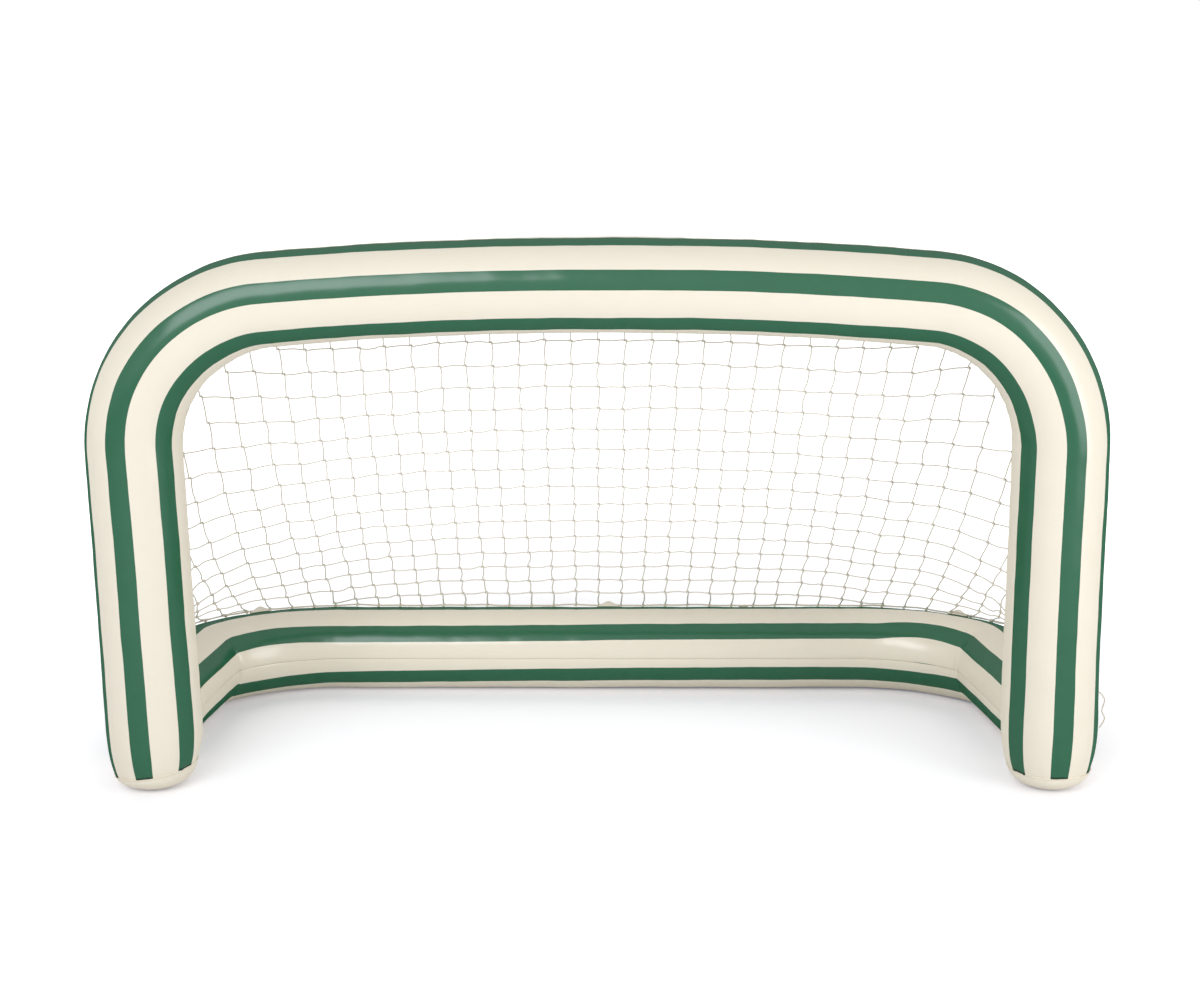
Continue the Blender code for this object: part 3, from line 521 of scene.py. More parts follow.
def base_tube():
    step = STATION_STEP
    leg_x = LEG_X - LEG_LEAN * LEG_ABOVE_BASE
    behind, bow = np.array([*BASE_SIDE, (FOLD_BEHIND, 0)]).T
    side = np.concatenate([END_STATIONS, spaced(0.016, FOLD_BEHIND, step)])
    side_x = leg_x + eased(side, behind, bow)
    turn = np.arctan2(-np.gradient(side_x, side), 1)
    turn[:len(END_STATIONS)] = 0
    fold = spaced(FOLD_FROM, FOLD_TO, 0.05)[1:]
    fold_middle = np.array([leg_x, BASE_END_Y + FOLD_BEHIND])
    fold_middle = fold_middle - FOLD_RADIUS * np.array([math.cos(FOLD_FROM), math.sin(FOLD_FROM)])
    folded = fold_middle + FOLD_RADIUS * np.stack([np.cos(fold), np.sin(fold)], 1)
    radius = (REAR_Y - folded[-1, 1]) / (1 - math.sin(FOLD_TO))
    bend = spaced(FOLD_TO, math.pi / 2, step / radius)[1:]
    bend_middle = folded[-1] - radius * np.array([math.cos(FOLD_TO), math.sin(FOLD_TO)])
    bent = bend_middle + radius * np.stack([np.cos(bend), np.sin(bend)], 1)
    rear_x = spaced(bent[-1, 0], 0, step)[1:]
    rear = np.stack([rear_x, np.full(len(rear_x), REAR_Y)], 1)
    flat = np.concatenate([np.stack([side_x, BASE_END_Y + side], 1), folded, bent, rear])
    centre = np.concatenate([flat, np.full((len(flat), 1), BASE_Z)], 1)
    turn = np.concatenate([turn, fold, bend, np.full(len(rear), math.pi / 2)])
    out = np.stack([np.cos(turn), np.sin(turn), 0 * turn], 1)
    up = np.tile([0.0, 0, 1], (len(turn), 1))
    bent_share = np.repeat([0, 1, 0.4, 0], [len(part) for part in (side, fold, bend, rear)])
    tube = both_halves(centre, -out, up, bent_share)
    near_end = np.clip(1 - (tube.centre[:, 1] - BASE_END_Y) / 0.11, 0, 1) ** 2
    tube.centre[:, 0] += near_end * np.where(tube.centre[:, 0] < 0, *BASE_ENDS_RIGHT)
    return tube


def section_angles(low):
    """Angles round half a tube, closer together beside the two welds."""
    high = low + 180
    close = np.array([0.12, 0.7, 1.5, 2.6, 4.2, 6.5])
    return np.concatenate([low + close, spaced(low + 9.5, high - 9.5, 4.5), high - close[::-1]])


def film_relief(tube, around, weld_from, seed):
    """How far the film stands off its true radius, and how far each point is from a weld."""
    run, bend = tube.run[:, None], np.convolve(tube.bend, np.ones(7) / 7, 'same')[:, None]
    around = around[None, :]
    off_weld = np.abs((around - weld_from + 90) % 180 - 90)
    weld = np.radians(off_weld) * TUBE
    inner = np.abs((around - weld_from + 180) % 360 - 180)
    relief = 0.00045 * waves(seed, run, around, (0.31, 0.17, 0.093), (1, 2, 3))
    relief += 0.00016 * waves(seed + 1, run, around, (0.05, 0.033), (3, 5, 8))
    relief -= 0.0006 * bell(weld, 0.0022) + 0.0006 * bell(weld, 0.010)
    stitch = np.sin(math.tau * run / 0.0105 + 1.6 * np.sin(run * 61)) * np.sin(run * 37 + 2)
    relief += 0.00030 * stitch * bell(weld, 0.007)
    fold = np.sin(math.tau * run / 0.027 + 1.3 * np.sin(run * 43 + seed) + np.radians(around) * 0.8)
    relief -= 0.0010 * bend * bell(inner, 26) * np.clip(fold, 0, 1) ** 4
    gather = 0.6 * np.cos(np.radians(around) * 23 + 1.1) + 0.4 * np.cos(np.radians(around) * 37)
    gather += 0.5 * np.cos(np.radians(around) * 11 + 2)
    relief += 0.00065 * gather * np.exp(-tube.end[:, None] / 0.017)
    off_valve = (run - tube.valve[0]) ** 2 + (np.radians(around - tube.valve[1]) * TUBE) ** 2
    at_valve = np.exp(-off_valve / VALVE_PATCH ** 2)
    return relief * (1 - at_valve) - 0.0010 * at_valve, weld


def slant_left_foot(points):
    """Tip the left foot's weld, and the film beside it, outwards and down."""
    x, z = points[..., 0], points[..., 2]
    share = np.minimum(np.clip((0.12 - z) / (0.12 - FOOT_WELD), 0, 1), np.clip(z / FOOT_WELD, 0, 1))
    out = np.where(x < -0.5, x - arch.centre[0, 0], 0)
    points[..., 2] = z + LEFT_WELD_SLOPE * out * share


def film_panel(node, tube, low, weld_from, finish, seed, roll, extra=None):
    """One of the two film panels of a tube, half way round it from one lengthwise weld."""
    around = section_angles(low)
    relief, weld = film_relief(tube, around, weld_from, seed)
    if extra is not None:
        relief += extra(tube, around)
    lip = 0.0010 * bell(tube.end[:, None], 0.0004)
    lip = lip * (0.8 + 0.35 * np.sin(around * 0.9 + seed) * np.sin(around * 0.37))[None, :]
    ray = turned(tube.zero[:, None], tube.quarter[:, None], np.radians(around)[None, :, None])
    points = tube.centre[:, None] + ray * (tube.radius[:, None] + relief + lip)[..., None]
    if tube is arch:
        slant_left_foot(points)
    faces = grid_faces(len(tube.run), len(around))[:, ::-1]
    film_piece(node.replace("panel", "film"), points, faces, finish, "striped_film", node, weld=weld,
               around=around, stripe=around - roll[:, None], run=tube.run[:, None], end=tube.end[:, None])


def base_roll(roll, twist):
    """Angle of the base's stripes at each station, twisted beside its ends."""
    turns = [np.interp(base.end, TWIST_PLACES, half) for half in twist]
    return blurred(np.where(base.centre[:, 0] < 0, *turns), 9) + roll


def base_creases(tube, around):
    """Folds inside the base's corners and faint creases beside the inner weld."""
    folds = [tube.run[(tube.bend > 0.9) & (tube.centre[:, 0] * sign > 0)].mean() for sign in (-1, 1)]
    away = np.minimum(*[np.abs(tube.run - place) for place in folds])[:, None]
    inner = (around + 180) % 360 - 180
    fold = -0.0009 * bell(away, 0.007) + 0.0003 * bell(away - 0.019, 0.011)
    creases = 0
    for place, length, seed in ((8, 0.43, 1), (-9, 0.37, 2), (15, 0.29, 3), (-17, 0.53, 4), (3, 0.21, 5)):
        shown = np.clip(np.sin(math.tau * tube.run / length + seed * 1.9), 0, 1)[:, None]
        wander = inner[None, :] - place - 2.2 * np.sin(tube.run * 17 + seed)[:, None]
        creases = creases - 0.00032 * shown * bell(wander, 1.1)
    return fold * bell(inner, 55)[None, :] + creases


# Film pieces.

def dome(name, centre, axis, depth, finish, node, seed):
    """Shallow domed end disc with a ragged weld lip and short gathers inside it."""
    turn = np.radians(np.arange(0, 360, 3.0))[None, :]
    share = np.concatenate([[0.0, 0.02, 0.05, 0.09], np.linspace(0.14, 1, 15)])[:, None] * math.pi / 2
    draw = np.random.default_rng(seed)
    shifts = draw.uniform(0, math.tau, 4)
    gather = sum(np.cos(turn * count + shift) for count, shift in zip((13, 21, 29, 34), shifts)) / 2
    skin = DISC_FLAT + (WELD_RADIUS - 0.0006 - DISC_FLAT) * np.cos(share)
    fall = depth * np.sin(share)
    skin = skin + 0.0006 * gather * np.exp(-fall / 0.008)
    ragged = 0.0003 * np.cos(turn * 17 + shifts[0]) + 0.0002 * np.cos(turn * 41 + shifts[1])
    lip_out = WELD_RADIUS + 0.0008 + ragged
    ring = np.zeros_like(turn)
    rings = [ring + WELD_RADIUS - 0.001, lip_out, lip_out + 0.0001, ring + WELD_RADIUS + 0.0002]
    falls = [ring - 0.0001, ring, ring + 0.0005, ring + 0.0007]
    radius = np.concatenate([*rings, skin[1:], ring + 0.0001])
    drop = np.concatenate([*falls, np.maximum(fall[1:] + ring, 0.0009), ring + depth])
    side = unit(np.cross(axis, [0, 0, 1] if abs(axis[1]) > 0.9 else [0, 1, 0]))
    ray = turned(side, np.cross(axis, side), turn[..., None])
    points = centre + ray * radius[..., None] + axis * drop[..., None]
    if name == "foot_disc_left":
        slant_left_foot(points)
    weld = np.concatenate([[0] * 4, fall[1:, 0], [depth]])[:, None]
    faces = grid_faces(len(radius), turn.size, True)[:, ::-1]
    film_piece(name, points, faces, finish, "cream_film", node, weld=weld)


def leg_skin(sign, height):
    """Middle and radius of a leg at a height, measured up from the foot weld or down the dome."""
    leg = (arch.centre[:, 0] * sign > 0) & (arch.centre[:, 2] < 0.5)
    around = np.concatenate([arch.centre[leg], arch.radius[leg, None]], 1)
    middles, _, heights, radii = sorted_by(2, around).T
    film = np.interp(height, heights, radii)
    fall = np.clip((FOOT_WELD - height) / FOOT_WELD, 0, 1)
    dome_skin = DISC_FLAT + (WELD_RADIUS - DISC_FLAT) * np.sqrt(1 - fall ** 2)
    return np.interp(height, heights, middles), np.where(height >= FOOT_WELD, film, dome_skin)


def collar(side, sign, finish):
    """Slanting sleeve welded between the base tube's end and the leg, gathered along both edges."""
    radius, rear = COLLAR_RADIUS, ARCH_Y + COLLAR_REAR
    turn = np.radians(np.arange(0, 360, 3.0))[None, :]
    across = radius * np.cos(turn)
    height = BASE_Z + radius * np.sin(turn)
    leg_x, leg_radius = leg_skin(sign, height)
    front_x, rear_x = leg_skin(sign, BASE_Z)[0], base.centre[0 if sign < 0 else -1, 0]

    def middle(y):
        return front_x + (rear_x - front_x) * np.clip((y - ARCH_Y) / COLLAR_SLANT, 0, 1)

    front = ARCH_Y + 0.05 + 0 * turn
    for _ in range(12):
        beside = middle(front) + across - leg_x
        front = ARCH_Y + np.sqrt(np.maximum((leg_radius + 0.0012) ** 2 - beside ** 2, 0.0002))
    share = np.array([0, 0.03, 0.07, 0.13, 0.2, 0.3, 0.42, 0.55, 0.7, 0.82, 0.9, 0.95, 1.0])[:, None]
    y = front + (rear - front) * share
    gather = 0.5 * np.cos(turn * 19 + sign) + 0.5 * np.cos(turn * 31 + 2)
    edges = bell(share, 0.12) + bell(1 - share, 0.12)
    swell = 0.0008 * np.sin(share * math.pi) + 0.00055 * gather * edges
    x = middle(y) + (radius + swell) * np.cos(turn)
    points = np.stack([x, y, BASE_Z + (radius + swell) * np.sin(turn)], -1)
    weld = np.minimum(share, 1 - share) * 0.06
    faces = grid_faces(len(share), turn.size, True)
    film_piece("join_sleeve_" + side, points, faces, finish, "cream_film", "join_collar_" + side, weld=weld)


def film_loop(node, tube, station, angle_deg, length, finish, peak=0.0):
    """Strip of film over the cord, welded down along both edges; peak is how far the cord pulls it up."""
    ahead, normal = tube.ahead(station), tube.outwards(station, angle_deg)
    beside = np.cross(normal, ahead)
    half_across = np.array([0.08, 0.2, 0.34, 0.48, 0.58, 0.66, 0.86, 1])
    across = np.concatenate([-half_across[::-1], half_across])
    u, v = np.meshgrid(np.linspace(-0.5, 0.5, 13), across, indexing='ij')
    tent = np.clip(1 - np.abs(v) / 0.58, 0, 1) ** 0.85
    pull = bell(u, 0.23)
    height = tent * (LOOP_RISE * (0.82 + 0.18 * np.cos(u * 7)) + peak * pull)
    ruffle = 0.0004 * np.sin(u * 31 + station) * np.sin(v * 9 + 1)
    sideways = v * LOOP_HALF_WIDTH * (1 - 0.25 * tent * pull * (peak > 0))
    round_tube = TUBE - TUBE * np.cos(np.clip(sideways / TUBE, -1, 1))
    lift = 0.0007 + height + ruffle * tent - round_tube * (1 - tent)
    bow = tube_bow(tube, station, u * length)
    points = tube.centre[station] + normal * tube.radius[station] + ahead * (u * length)[..., None]
    points = points + beside * sideways[..., None] + normal * lift[..., None] + bow
    weld = np.where(np.abs(v) > 0.6, (np.abs(v) - 0.6) * 0.004, 0.02)
    name = node.replace("loop", "tab")
    film_piece(name, points, grid_faces(*u.shape), finish, "cream_film", node, LOOP_FILM, weld=weld)


def tube_bow(tube, station, run):
    """How far a straight strip has to bow to follow its tube's centreline."""
    here = tube.run[station]
    there = np.stack([np.interp(here + run, tube.run, tube.centre[:, axis]) for axis in range(3)], -1)
    bow = there - tube.centre[station]
    return bow - (bow @ tube.ahead(station))[..., None] * tube.ahead(station)


# Cords.

def frames_along(path):
    """Two axes square to a path at each of its points, turning as little as possible."""
    ahead = unit(np.gradient(path, axis=0))
    first = [unit(np.cross(ahead[0], [0, 0, 1] if abs(ahead[0, 2]) < 0.9 else [1, 0, 0]))]
    for way in ahead[1:]:
        first.append(unit(first[-1] - way * (first[-1] @ way)))
    return np.array(first), np.cross(ahead, first)


def swept(path, radius, sides, lobes=0, pitch=0.009):
    """Points and grooves of a cord along a path; lobes give it the plies of a twisted cord."""
    first, second = frames_along(path)
    turn = np.arange(sides) * math.tau / sides
    phase = lobes * (turn[None, :] - math.tau * run_of(path)[:, None] / (pitch * max(lobes, 1)))
    groove = 0.5 - 0.5 * np.cos(phase)
    ray = turned(first[:, None], second[:, None], turn[None, :, None])
    return path[:, None] + ray * (radius * (1 - PLY_DEPTH * groove))[..., None], groove


class Bundle:
    """Many swept tubes gathered into one mesh."""

    def __init__(self):
        self.points, self.faces, self.grooves = [], [], []
        self.count = 0

    def tube(self, path, radius, sides, **twist):
        """Add a tube with both ends closed."""
        points, groove = swept(np.asarray(path), radius, sides, **twist)
        last = self.count + (len(path) - 1) * sides
        self.faces.append(grid_faces(len(path), sides, True, self.count))
        for ring in (np.arange(self.count, self.count + sides)[::-1], np.arange(last, last + sides)):
            for i in range(sides // 2 - 1):
                self.faces.append(ring[[[i, i + 1, sides - 2 - i, sides - 1 - i]]])
        self.points.append(points.reshape(-1, 3))
        self.grooves.append(groove.ravel())
        self.count += groove.size

    def settle(self, name, finish, node):
        piece = mesh_object(name, np.concatenate(self.points), np.concatenate(self.faces), finish,
                            groove=np.concatenate(self.grooves))
        return settle(piece, node)


def single_cord(name, path, diameter, sides, pitch, finish, node):
    """Piece made of one three-ply cord."""
    bundle = Bundle()
    bundle.tube(path, diameter / 2, sides, lobes=3, pitch=pitch)
    return bundle.settle(name, finish, node)


def smooth_route(route, spacing):
    """Points at about the given spacing on a smooth curve through a route's points."""
    route = np.asarray(route, float)
    padded = np.concatenate([[route[0] * 2 - route[1]], route, [route[-1] * 2 - route[-2]]])
    points = [route[0]]
    for p0, p1, p2, p3 in zip(padded, padded[1:], padded[2:], padded[3:]):
        count = max(1, round(float(np.linalg.norm(p2 - p1)) / spacing))
        for t in np.arange(1, count + 1) / count:
            points.append(0.5 * (2 * p1 + (p2 - p0) * t + (2 * p0 - 5 * p1 + 4 * p2 - p3) * t ** 2
                                 + (3 * p1 - p0 - 3 * p2 + p3) * t ** 3))
    return np.array(points)


def cord_tail(finish):
    """Loose wavy end of the border cord outside the right leg, in full view from end to end."""
    path = smooth_route(TAIL_ROUTE, 0.0011)
    tail = single_cord("loose_cord_end", path, TAIL_DIAMETER, 12, 0.006, finish, "cord_tail_right")


def arch_cord_path():
    """Border cord behind and below the crossbar, turning to the rear of the legs."""
    rise = arch.quarter[:, 2]
    back = np.clip(1 - rise / CORD_TURN_FROM, 0, 1)
    angle = np.radians(BAR_CORD_DEG + (LEG_CORD_DEG - BAR_CORD_DEG) * back)[:, None]
    ray = turned(arch.zero, arch.quarter, angle)
    slack = 0.0006 * np.sin(arch.run * 39) + 0.0005 * np.sin(arch.run * 71 + 1)
    path = arch.centre + ray * (arch.radius + CORD_LIFT + slack)[:, None]
    return path[arch.centre[:, 2] > CORD_END_HEIGHT]


def base_cord_path():
    """Border cord over the top of the base and down outside each join, slack between its loops."""
    behind = base.centre[:, 1] - BASE_END_Y
    angles, fars = zip(*JOIN_CORD_ENDS, (BASE_CORD_DEG, JOIN_CORD_LENGTH))
    ray = turned(base.zero, base.quarter, np.radians(np.interp(behind, fars, angles))[:, None])
    slack = np.clip(0.0010 * np.sin(base.run * 33 + 2) + 0.0006 * np.sin(base.run * 83), -0.0004, 1)
    path = base.centre + ray * (TUBE + CORD_LIFT + slack)[:, None]
    return path[(behind >= JOIN_CORD_ENDS[0][1]) | (np.abs(base.centre[:, 0]) < 0.5)]


def tie_knot(side, path, finish):
    """Overhand knot at the end of the base's border cord."""
    middle = path[0] + unit(path[0] - path[1]) * 0.0030
    turn = np.linspace(0, math.tau, 60)
    across, up = np.sin(turn) + 2 * np.sin(2 * turn), np.cos(turn) - 2 * np.cos(2 * turn)
    path = middle + np.stack([across, up, -np.sin(3 * turn)], 1) * (KNOT_RADIUS / 3.6)
    single_cord("overhand_knot_" + side, path, 0.0025, 8, 0.005, finish, "tie_knot_" + side)


# Net.

def at_x(path, x):
    """Place on a path, above the legs' cord ends, where it crosses the given x."""
    inside = sorted_by(0, path[np.abs(path[:, 0]) <= HIP_X + 0.01])
    return np.array([np.interp(x, inside[:, 0], inside[:, axis]) for axis in range(3)])


def back_column(x, top, foot):
    """Curve of one upright cord of the back panel, from the arch's cord to the base's."""
    inwards = -NET_DRAW * x * abs(x) / 0.6 ** 2
    start, end = at_x(top, x), at_x(foot, x + inwards)
    down = unit(end - start)
    sag_way = unit(np.cross(down, [1.0, 0, 0]))
    v = np.linspace(0, 1, 240)[:, None]
    sag = NET_SAG + HIP_SAG * (abs(x) / HIP_X) ** 4
    drawn = np.array([inwards, 0, 0]) * (np.sqrt(v) - v)
    return start + (end - start) * v + sag_way * (sag * 4 * v * (1 - v)) + drawn


def along(curve, distance):
    run = run_of(curve)
    return np.stack([np.interp(distance, run, curve[:, axis]) for axis in range(3)], -1)


def row_distance(row, x):
    """Where a row crosses the column at x, measured down the column from the arch's cord."""
    middle = FIRST_ROW + MESH_DOWN * (row - 1)
    beside = max(abs(x), DROP_X[0])
    return middle - eased(beside, DROP_X, DROP_TOP) + middle * eased(beside, DROP_X, DROP_EASE)


class Net(Bundle):
    """Strands, knots and hitches of one net panel."""

    def __init__(self, seed):
        super().__init__()
        self.draw = np.random.default_rng(seed)

    def strand(self, stops, across, normal):
        """Cord through stops, with a little slack between them."""
        points = []
        for a, b in zip(stops, stops[1:]):
            length = np.linalg.norm(b - a)
            points.append(a)
            if length < 0.006:
                continue
            shift = self.draw.normal(0, 0.0009, 2)
            for share, turn in ((0.16, 0.5), (0.38, 1.0), (0.62, 0.9), (0.84, -0.2)):
                off = across * shift[0] * turn + normal * shift[1] * turn
                points.append(a + (b - a) * share + off)
        points.append(stops[-1])
        self.tube(points, STRAND / 2, 5)

    def coil(self, path, axis, side, turns, reach, radius):
        """Cord wound round a straight path, starting on one side of it."""
        turn = np.linspace(0, math.tau * turns, len(path))[:, None]
        self.tube(path + turned(side, np.cross(axis, side), turn) * reach, radius, 4)

    def knot(self, upper, lower, across):
        """One and a half turns of cord round the place where two cords cross."""
        axis = unit(lower - upper)
        path = upper + (lower - upper) * np.linspace(-0.25, 1.25, 13)[:, None]
        self.coil(path, axis, unit(across - axis * (across @ axis)), 1.5, STRAND * 0.78, STRAND * 0.42)

    def hitch(self, place, ahead):
        """Turn of cord round the border cord."""
        path = place + ahead * np.linspace(-0.0016, 0.0016, 15)[:, None]
        side = unit(np.cross(ahead, [0.31, 0.2, 0.93]))
        self.coil(path, ahead, side, 1.75, CORD_DIAMETER / 2 + STRAND * 0.42, STRAND * 0.45)


def knot_ends(place, across, down):
    """Upper and lower end of the short slanting step that the cords make at a knot."""
    step = across * 0.0015 + down * 0.0013
    return place - step, place + step


def back_net(top, foot, finish):
    """Back panel: upright cords tied to both border cords, and rows knotted across them."""
    net = Net(5)
    columns = np.arange(-HALF_COLUMNS, HALF_COLUMNS + 1)
    ends = {}
    for number in columns:
        x = number * MESH_ACROSS
        curve = back_column(x, top, foot)
        length = run_of(curve)[-1]
        stops = [curve[0]]
        for row in range(1, ROWS + 1):
            distance = row_distance(row, x)
            if not ROW_FROM_TOP < distance < length - ROW_FROM_FOOT:
                continue
            distance += net.draw.normal(0, 0.0011)
            place = along(curve, distance)
            down = unit(along(curve, min(distance + 0.01, length)) - along(curve, distance - 0.01))
            place = place + RIGHT * net.draw.normal(0, 0.0009)
            ends[row, number] = knot_ends(place, RIGHT, down)
            stops.extend(ends[row, number])
            net.knot(*ends[row, number], RIGHT)
        stops.append(curve[-1])
        net.strand(stops, RIGHT, OFF_NET)
        slanting = np.sign(x) * (abs(x) > 0.46)
        net.hitch(curve[0], unit(RIGHT + 0.2 * slanting * DOWN))
        net.hitch(curve[-1], unit(RIGHT + 0.6 * slanting * FORWARDS))
    for row in range(1, ROWS + 1):
        members = [number for number in columns if (row, number) in ends]
        for group in np.split(members, np.flatnonzero(np.diff(members) > 1) + 1):
            stops = [stop for number in group for stop in ends[row, number]]
            net.strand(stops, ROW_SLACK, OFF_NET)
    net.settle("back_netting", finish, "net_back")
    return ends


def side_net(side, sign, top, foot, knots, finish):
    """Side panel: the back panel's rows carried on to the leg, with upright cords across them."""
    net = Net(31 + sign)
    hip = back_column(sign * HIP_X, top, foot)
    on_leg = sorted_by(2, top[(top[:, 0] * sign > 0.5) & (top[:, 2] < hip[0, 2] - 0.03)])[::-1]
    on_base = sorted_by(1, foot[(foot[:, 0] * sign > HIP_X) & (foot[:, 1] > SIDE_FRONT)])[::-1]
    leg = np.concatenate([hip[:1], on_leg, on_base[-1:]])
    ground = np.concatenate([hip[-1:], on_base])
    lengths = run_of(hip)[-1], run_of(leg)[-1], run_of(ground)[-1]

    def place(share, down):
        """Point of the panel: share goes from the hip to the leg, down from the top to the base."""
        on_hip = along(hip, down * lengths[0])
        height = on_hip[2] - SIDE_DROP * min(down * 8, 1)
        on_leg_edge = np.interp(-height, -leg[:, 2], run_of(leg)) * (1 - down ** 6) + lengths[1] * down ** 6
        straight = on_hip * (1 - share) + along(leg, on_leg_edge) * share
        end = hip[-1] * (1 - share) + leg[-1] * share
        billow = np.array([sign * SIDE_BILLOW * 4 * share * (1 - share) * (1 - down ** 2), 0, 0])
        return straight + (along(ground, share * lengths[2]) - end) * down ** 2 + billow

    def width(down):
        return run_of([place(share, down) for share in np.linspace(0, 1, 13)])[-1]

    levels = np.linspace(0.02, 1, 99)
    widths = np.maximum.accumulate([width(level) for level in levels])
    columns = {}
    for row in range(1, ROWS + 1):
        if (row, sign * HALF_COLUMNS) not in knots:
            continue
        inner = knots[row, sign * HALF_COLUMNS][(1 + sign) // 2]
        level = float(np.argmin(np.linalg.norm(hip - inner, axis=1))) / (len(hip) - 1)
        wide = np.interp(level, levels, widths)
        if wide <= 0.012:
            continue
        stops = [inner]
        for column in range(1, 1 + int(wide / MESH_ACROSS - 0.3)):
            share = column * MESH_ACROSS / wide + net.draw.normal(0, 0.004)
            spot = place(share, level) - net.draw.normal(0, 0.0010, 3) * DOWN
            ahead = sign * unit(place(share + 0.02, level) - place(share - 0.02, level))
            down = unit(place(share, min(level + 0.01, 1)) - place(share, level - 0.01))
            ends = knot_ends(spot, ahead, down)
            net.knot(*ends, ahead)
            columns.setdefault(column, []).append(ends)
            stops.extend(ends[::sign])
        tied = place(1.0, level)
        stops.append(tied)
        net.strand(stops, DOWN, -DOWN)
        net.hitch(tied, DOWN)
    for column, steps in columns.items():
        level = float(np.interp(column * MESH_ACROSS, widths, levels))
        start, last = place(1.0, level), place(min(column * MESH_ACROSS / widths[-1], 1), 1.0)
        stops = [start, *[stop for ends in steps for stop in ends], last]
        net.strand(stops, -FORWARDS, RIGHT)
        net.hitch(start, DOWN)
        net.hitch(last, FORWARDS)
    net.settle("side_netting_" + side, finish, "net_" + side)


# Floor and light.

AIR_LEVEL, AIR_DIMMER_ABOVE, AIR_BRIGHTER_BEHIND = 0.79, 0.51, 0.45


def floor_finish():
    floor = Finish("studio_floor", Roughness=0.9)
    seen = floor.add("LightPath", {}, {}, "Is Camera Ray")
    color = floor.mix(floor.noise(3.0), tone(243, 243, 246), tone(246, 246, 249))
    floor.shader.inputs["Emission Strength"].default_value = 1.0
    away = floor.add("VectorMath", {"operation": 'LENGTH'}, {0: floor.place((1, 1, 0))}, "Value")
    far = ((away - 0.75) / 0.9).limited()
    # Close to the goal the floor's glow for the camera follows ambient occlusion, a painted shadow under
    # and around the goal; far off it glows evenly white.
    open_air = floor.add("AmbientOcclusion", {"samples": 6}, {"Distance": 0.35}, "AO")
    near_glow_with_painted_shadow = floor.mix(open_air, (0.145, 0.14, 0.16), (0.385, 0.385, 0.39))
    glow = floor.mix(far, near_glow_with_painted_shadow, (1.0, 1.0, 1.0))
    return floor.wear(Base_Color=color, Emission_Color=floor.mix(seen, (0.0, 0.0, 0.0), glow))


def make_floor():
    half = 9.0
    corners = np.array([(-half, -half, 0), (half, -half, 0), (half, half, 0), (-half, half, 0)])
    mesh_object("studio_floor", corners, np.array([(0, 1, 2, 3)]), floor_finish())


def soft_box(name, place, target, size, watts, color, lean_deg=0):
    data = bpy.data.lights.new(name, 'AREA')
    data.shape = 'RECTANGLE'
    data.size, data.size_y = size
    data.energy = watts
    data.color = color
    lamp = bpy.data.objects.new(name, data)
    lamp.location = place
    facing = (Vector(target) - Vector(place)).to_track_quat('-Z', 'Y')
    lamp.rotation_euler = (facing @ Quaternion((0, 0, 1), math.radians(lean_deg))).to_euler()
    bpy.context.scene.collection.objects.link(lamp)


def make_light():
    soft_box("left_soft_box", (-1.35, -2.85, 2.1), (0, 0, 0.45), (2.1, 1.35), 41, (0.93, 0.965, 1.0), 27)
    soft_box("right_soft_box", (2.3, -2.05, 1.0), (0, 0, 0.45), (1.3, 1.8), 26, (0.96, 0.98, 1.0))
    make_air()


def make_air():
    """World that camera, glossy and transmission rays see white, and that lights as dimmer air."""
    world = bpy.data.worlds.new("studio_air")
    air = Nodes(world)
    bpy.context.scene.world = world
    rays = ("Is Camera Ray", "Is Transmission Ray", "Is Glossy Ray")
    camera, transmission, glossy = [air.add("LightPath", {}, {}, ray) for ray in rays]
    seen = (camera + transmission + glossy).limited()
    way = air.add("TexCoord", {}, {}, "Generated")
    up, behind = [air.add("SeparateXYZ", {}, {"Vector": way}, axis).limited() for axis in ("Z", "Y")]
    daylight = AIR_LEVEL - up * AIR_DIMMER_ABOVE + behind * AIR_BRIGHTER_BEHIND
    background = world.node_tree.nodes["Background"]
    background.inputs["Color"].default_value = (1, 1, 1, 1)
    strength = air.add("MapRange", {}, {"Value": seen, "To Min": daylight}, "Result")
    air.feed(background.inputs["Strength"], strength)


# The goal, put together.

make_camera()
cord_finish = spun_cord()
cord_tail(cord_finish)

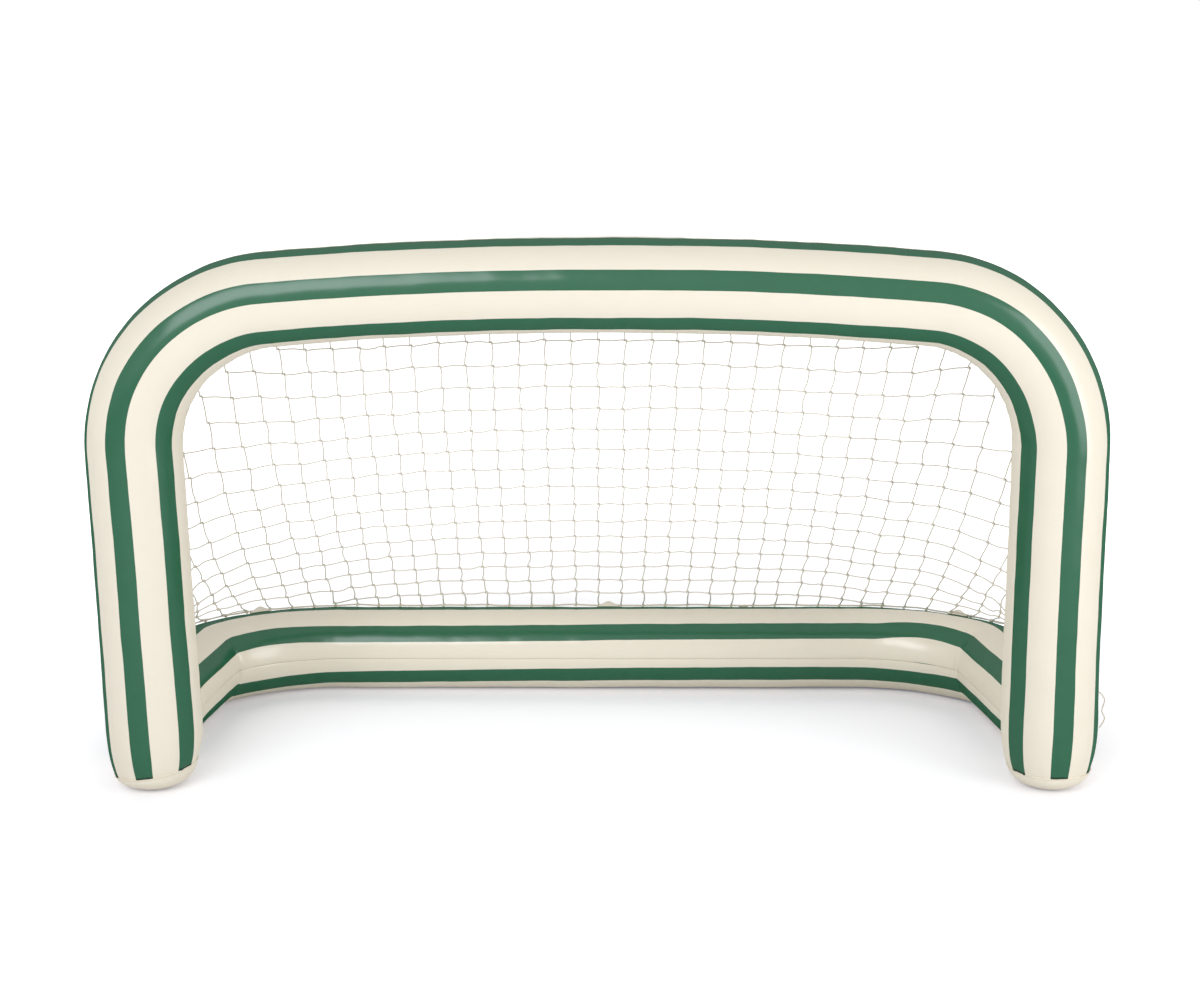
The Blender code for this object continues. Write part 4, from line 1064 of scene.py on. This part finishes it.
arch, base = arch_tube(), base_tube()
arch_roll = arch.stray(LEFT_HALF, RIGHT_HALF)
arch.valve = arch.run[arch.station(2, ARCH_VALVE_HEIGHT, -1)], ARCH_VALVE_DEG
base.valve = base.run[base.station(0, BASE_VALVE_X)], BASE_VALVE_DEG
top_roll, bottom_roll = base_roll(BASE_TOP_ROLL, TOP_TWIST), base_roll(BASE_BOTTOM_ROLL, BOTTOM_TWIST)
striped, cream = striped_film(), plain_film()
film_panel("arch_front_panel", arch, -90, -90, striped, 3, arch_roll)
film_panel("arch_rear_panel", arch, 90, -90, striped, 3, arch_roll)
film_panel("base_top_panel", base, 0, 0, striped, 7, top_roll, base_creases)
film_panel("base_bottom_panel", base, 180, 0, striped, 7, bottom_roll, base_creases)
arch_cord, base_cord = arch_cord_path(), base_cord_path()
for side, sign in SIDES:
    end = 0 if sign < 0 else -1
    foot, base_end = arch.centre[end], base.centre[end]
    dome("foot_disc_" + side, foot, DOWN, FOOT_WELD, cream, "arch_end_disc_" + side, 11 + sign)
    dome("base_disc_" + side, base_end, FORWARDS, BASE_DOME, cream, "base_end_disc_" + side, 21 + sign)
    collar(side, sign, cream)
    tie_knot(side, base_cord[::-sign], cord_finish)

for number, x in enumerate(BAR_LOOPS, 1):
    film_loop(f"crossbar_loop_{number}", arch, arch.station(0, x), BAR_CORD_DEG, LOOP_LENGTH, cream)
for side, sign in SIDES:
    for number, height in enumerate(LEG_LOOPS, 1):
        angle, length = (LEG_CORD_DEG, LOOP_LENGTH) if height < 0.5 else (BAR_CORD_DEG, BEND_LOOP_LENGTH)
        film_loop(f"leg_loop_{side}_{number}", arch, arch.station(2, height, sign), angle, length, cream)
    for number, behind in enumerate(BASE_LOOPS[side], 1):
        station = base.station(1, ARCH_Y + behind, sign)
        film_loop(f"base_loop_{side}_{number}", base, station, BASE_CORD_DEG, LOOP_LENGTH, cream,
                  LOOP_PEAK if number == 2 else 0.0)
middle = base.station(0, BASE_LOOP_MIDDLE)
film_loop("base_loop_middle", base, middle, BASE_CORD_DEG, LOOP_LENGTH, cream, LOOP_PEAK)

for name, path in (("arch", arch_cord), ("base", base_cord)):
    single_cord(name + "_border_cord", smooth_route(path, 0.0022), CORD_DIAMETER, 10, 0.0095, cord_finish,
                "border_cord_" + name)
knots = back_net(arch_cord, base_cord, cord_finish)
for side, sign in SIDES:
    side_net(side, sign, arch_cord, base_cord, knots, cord_finish)

vinyl = soft_vinyl()
for name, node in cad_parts.items():
    if "valve" in name:
        node.data.materials.clear()
        node.data.materials.append(vinyl)

make_floor()
make_light()
bpy.context.scene.view_settings.view_transform = 'Standard'
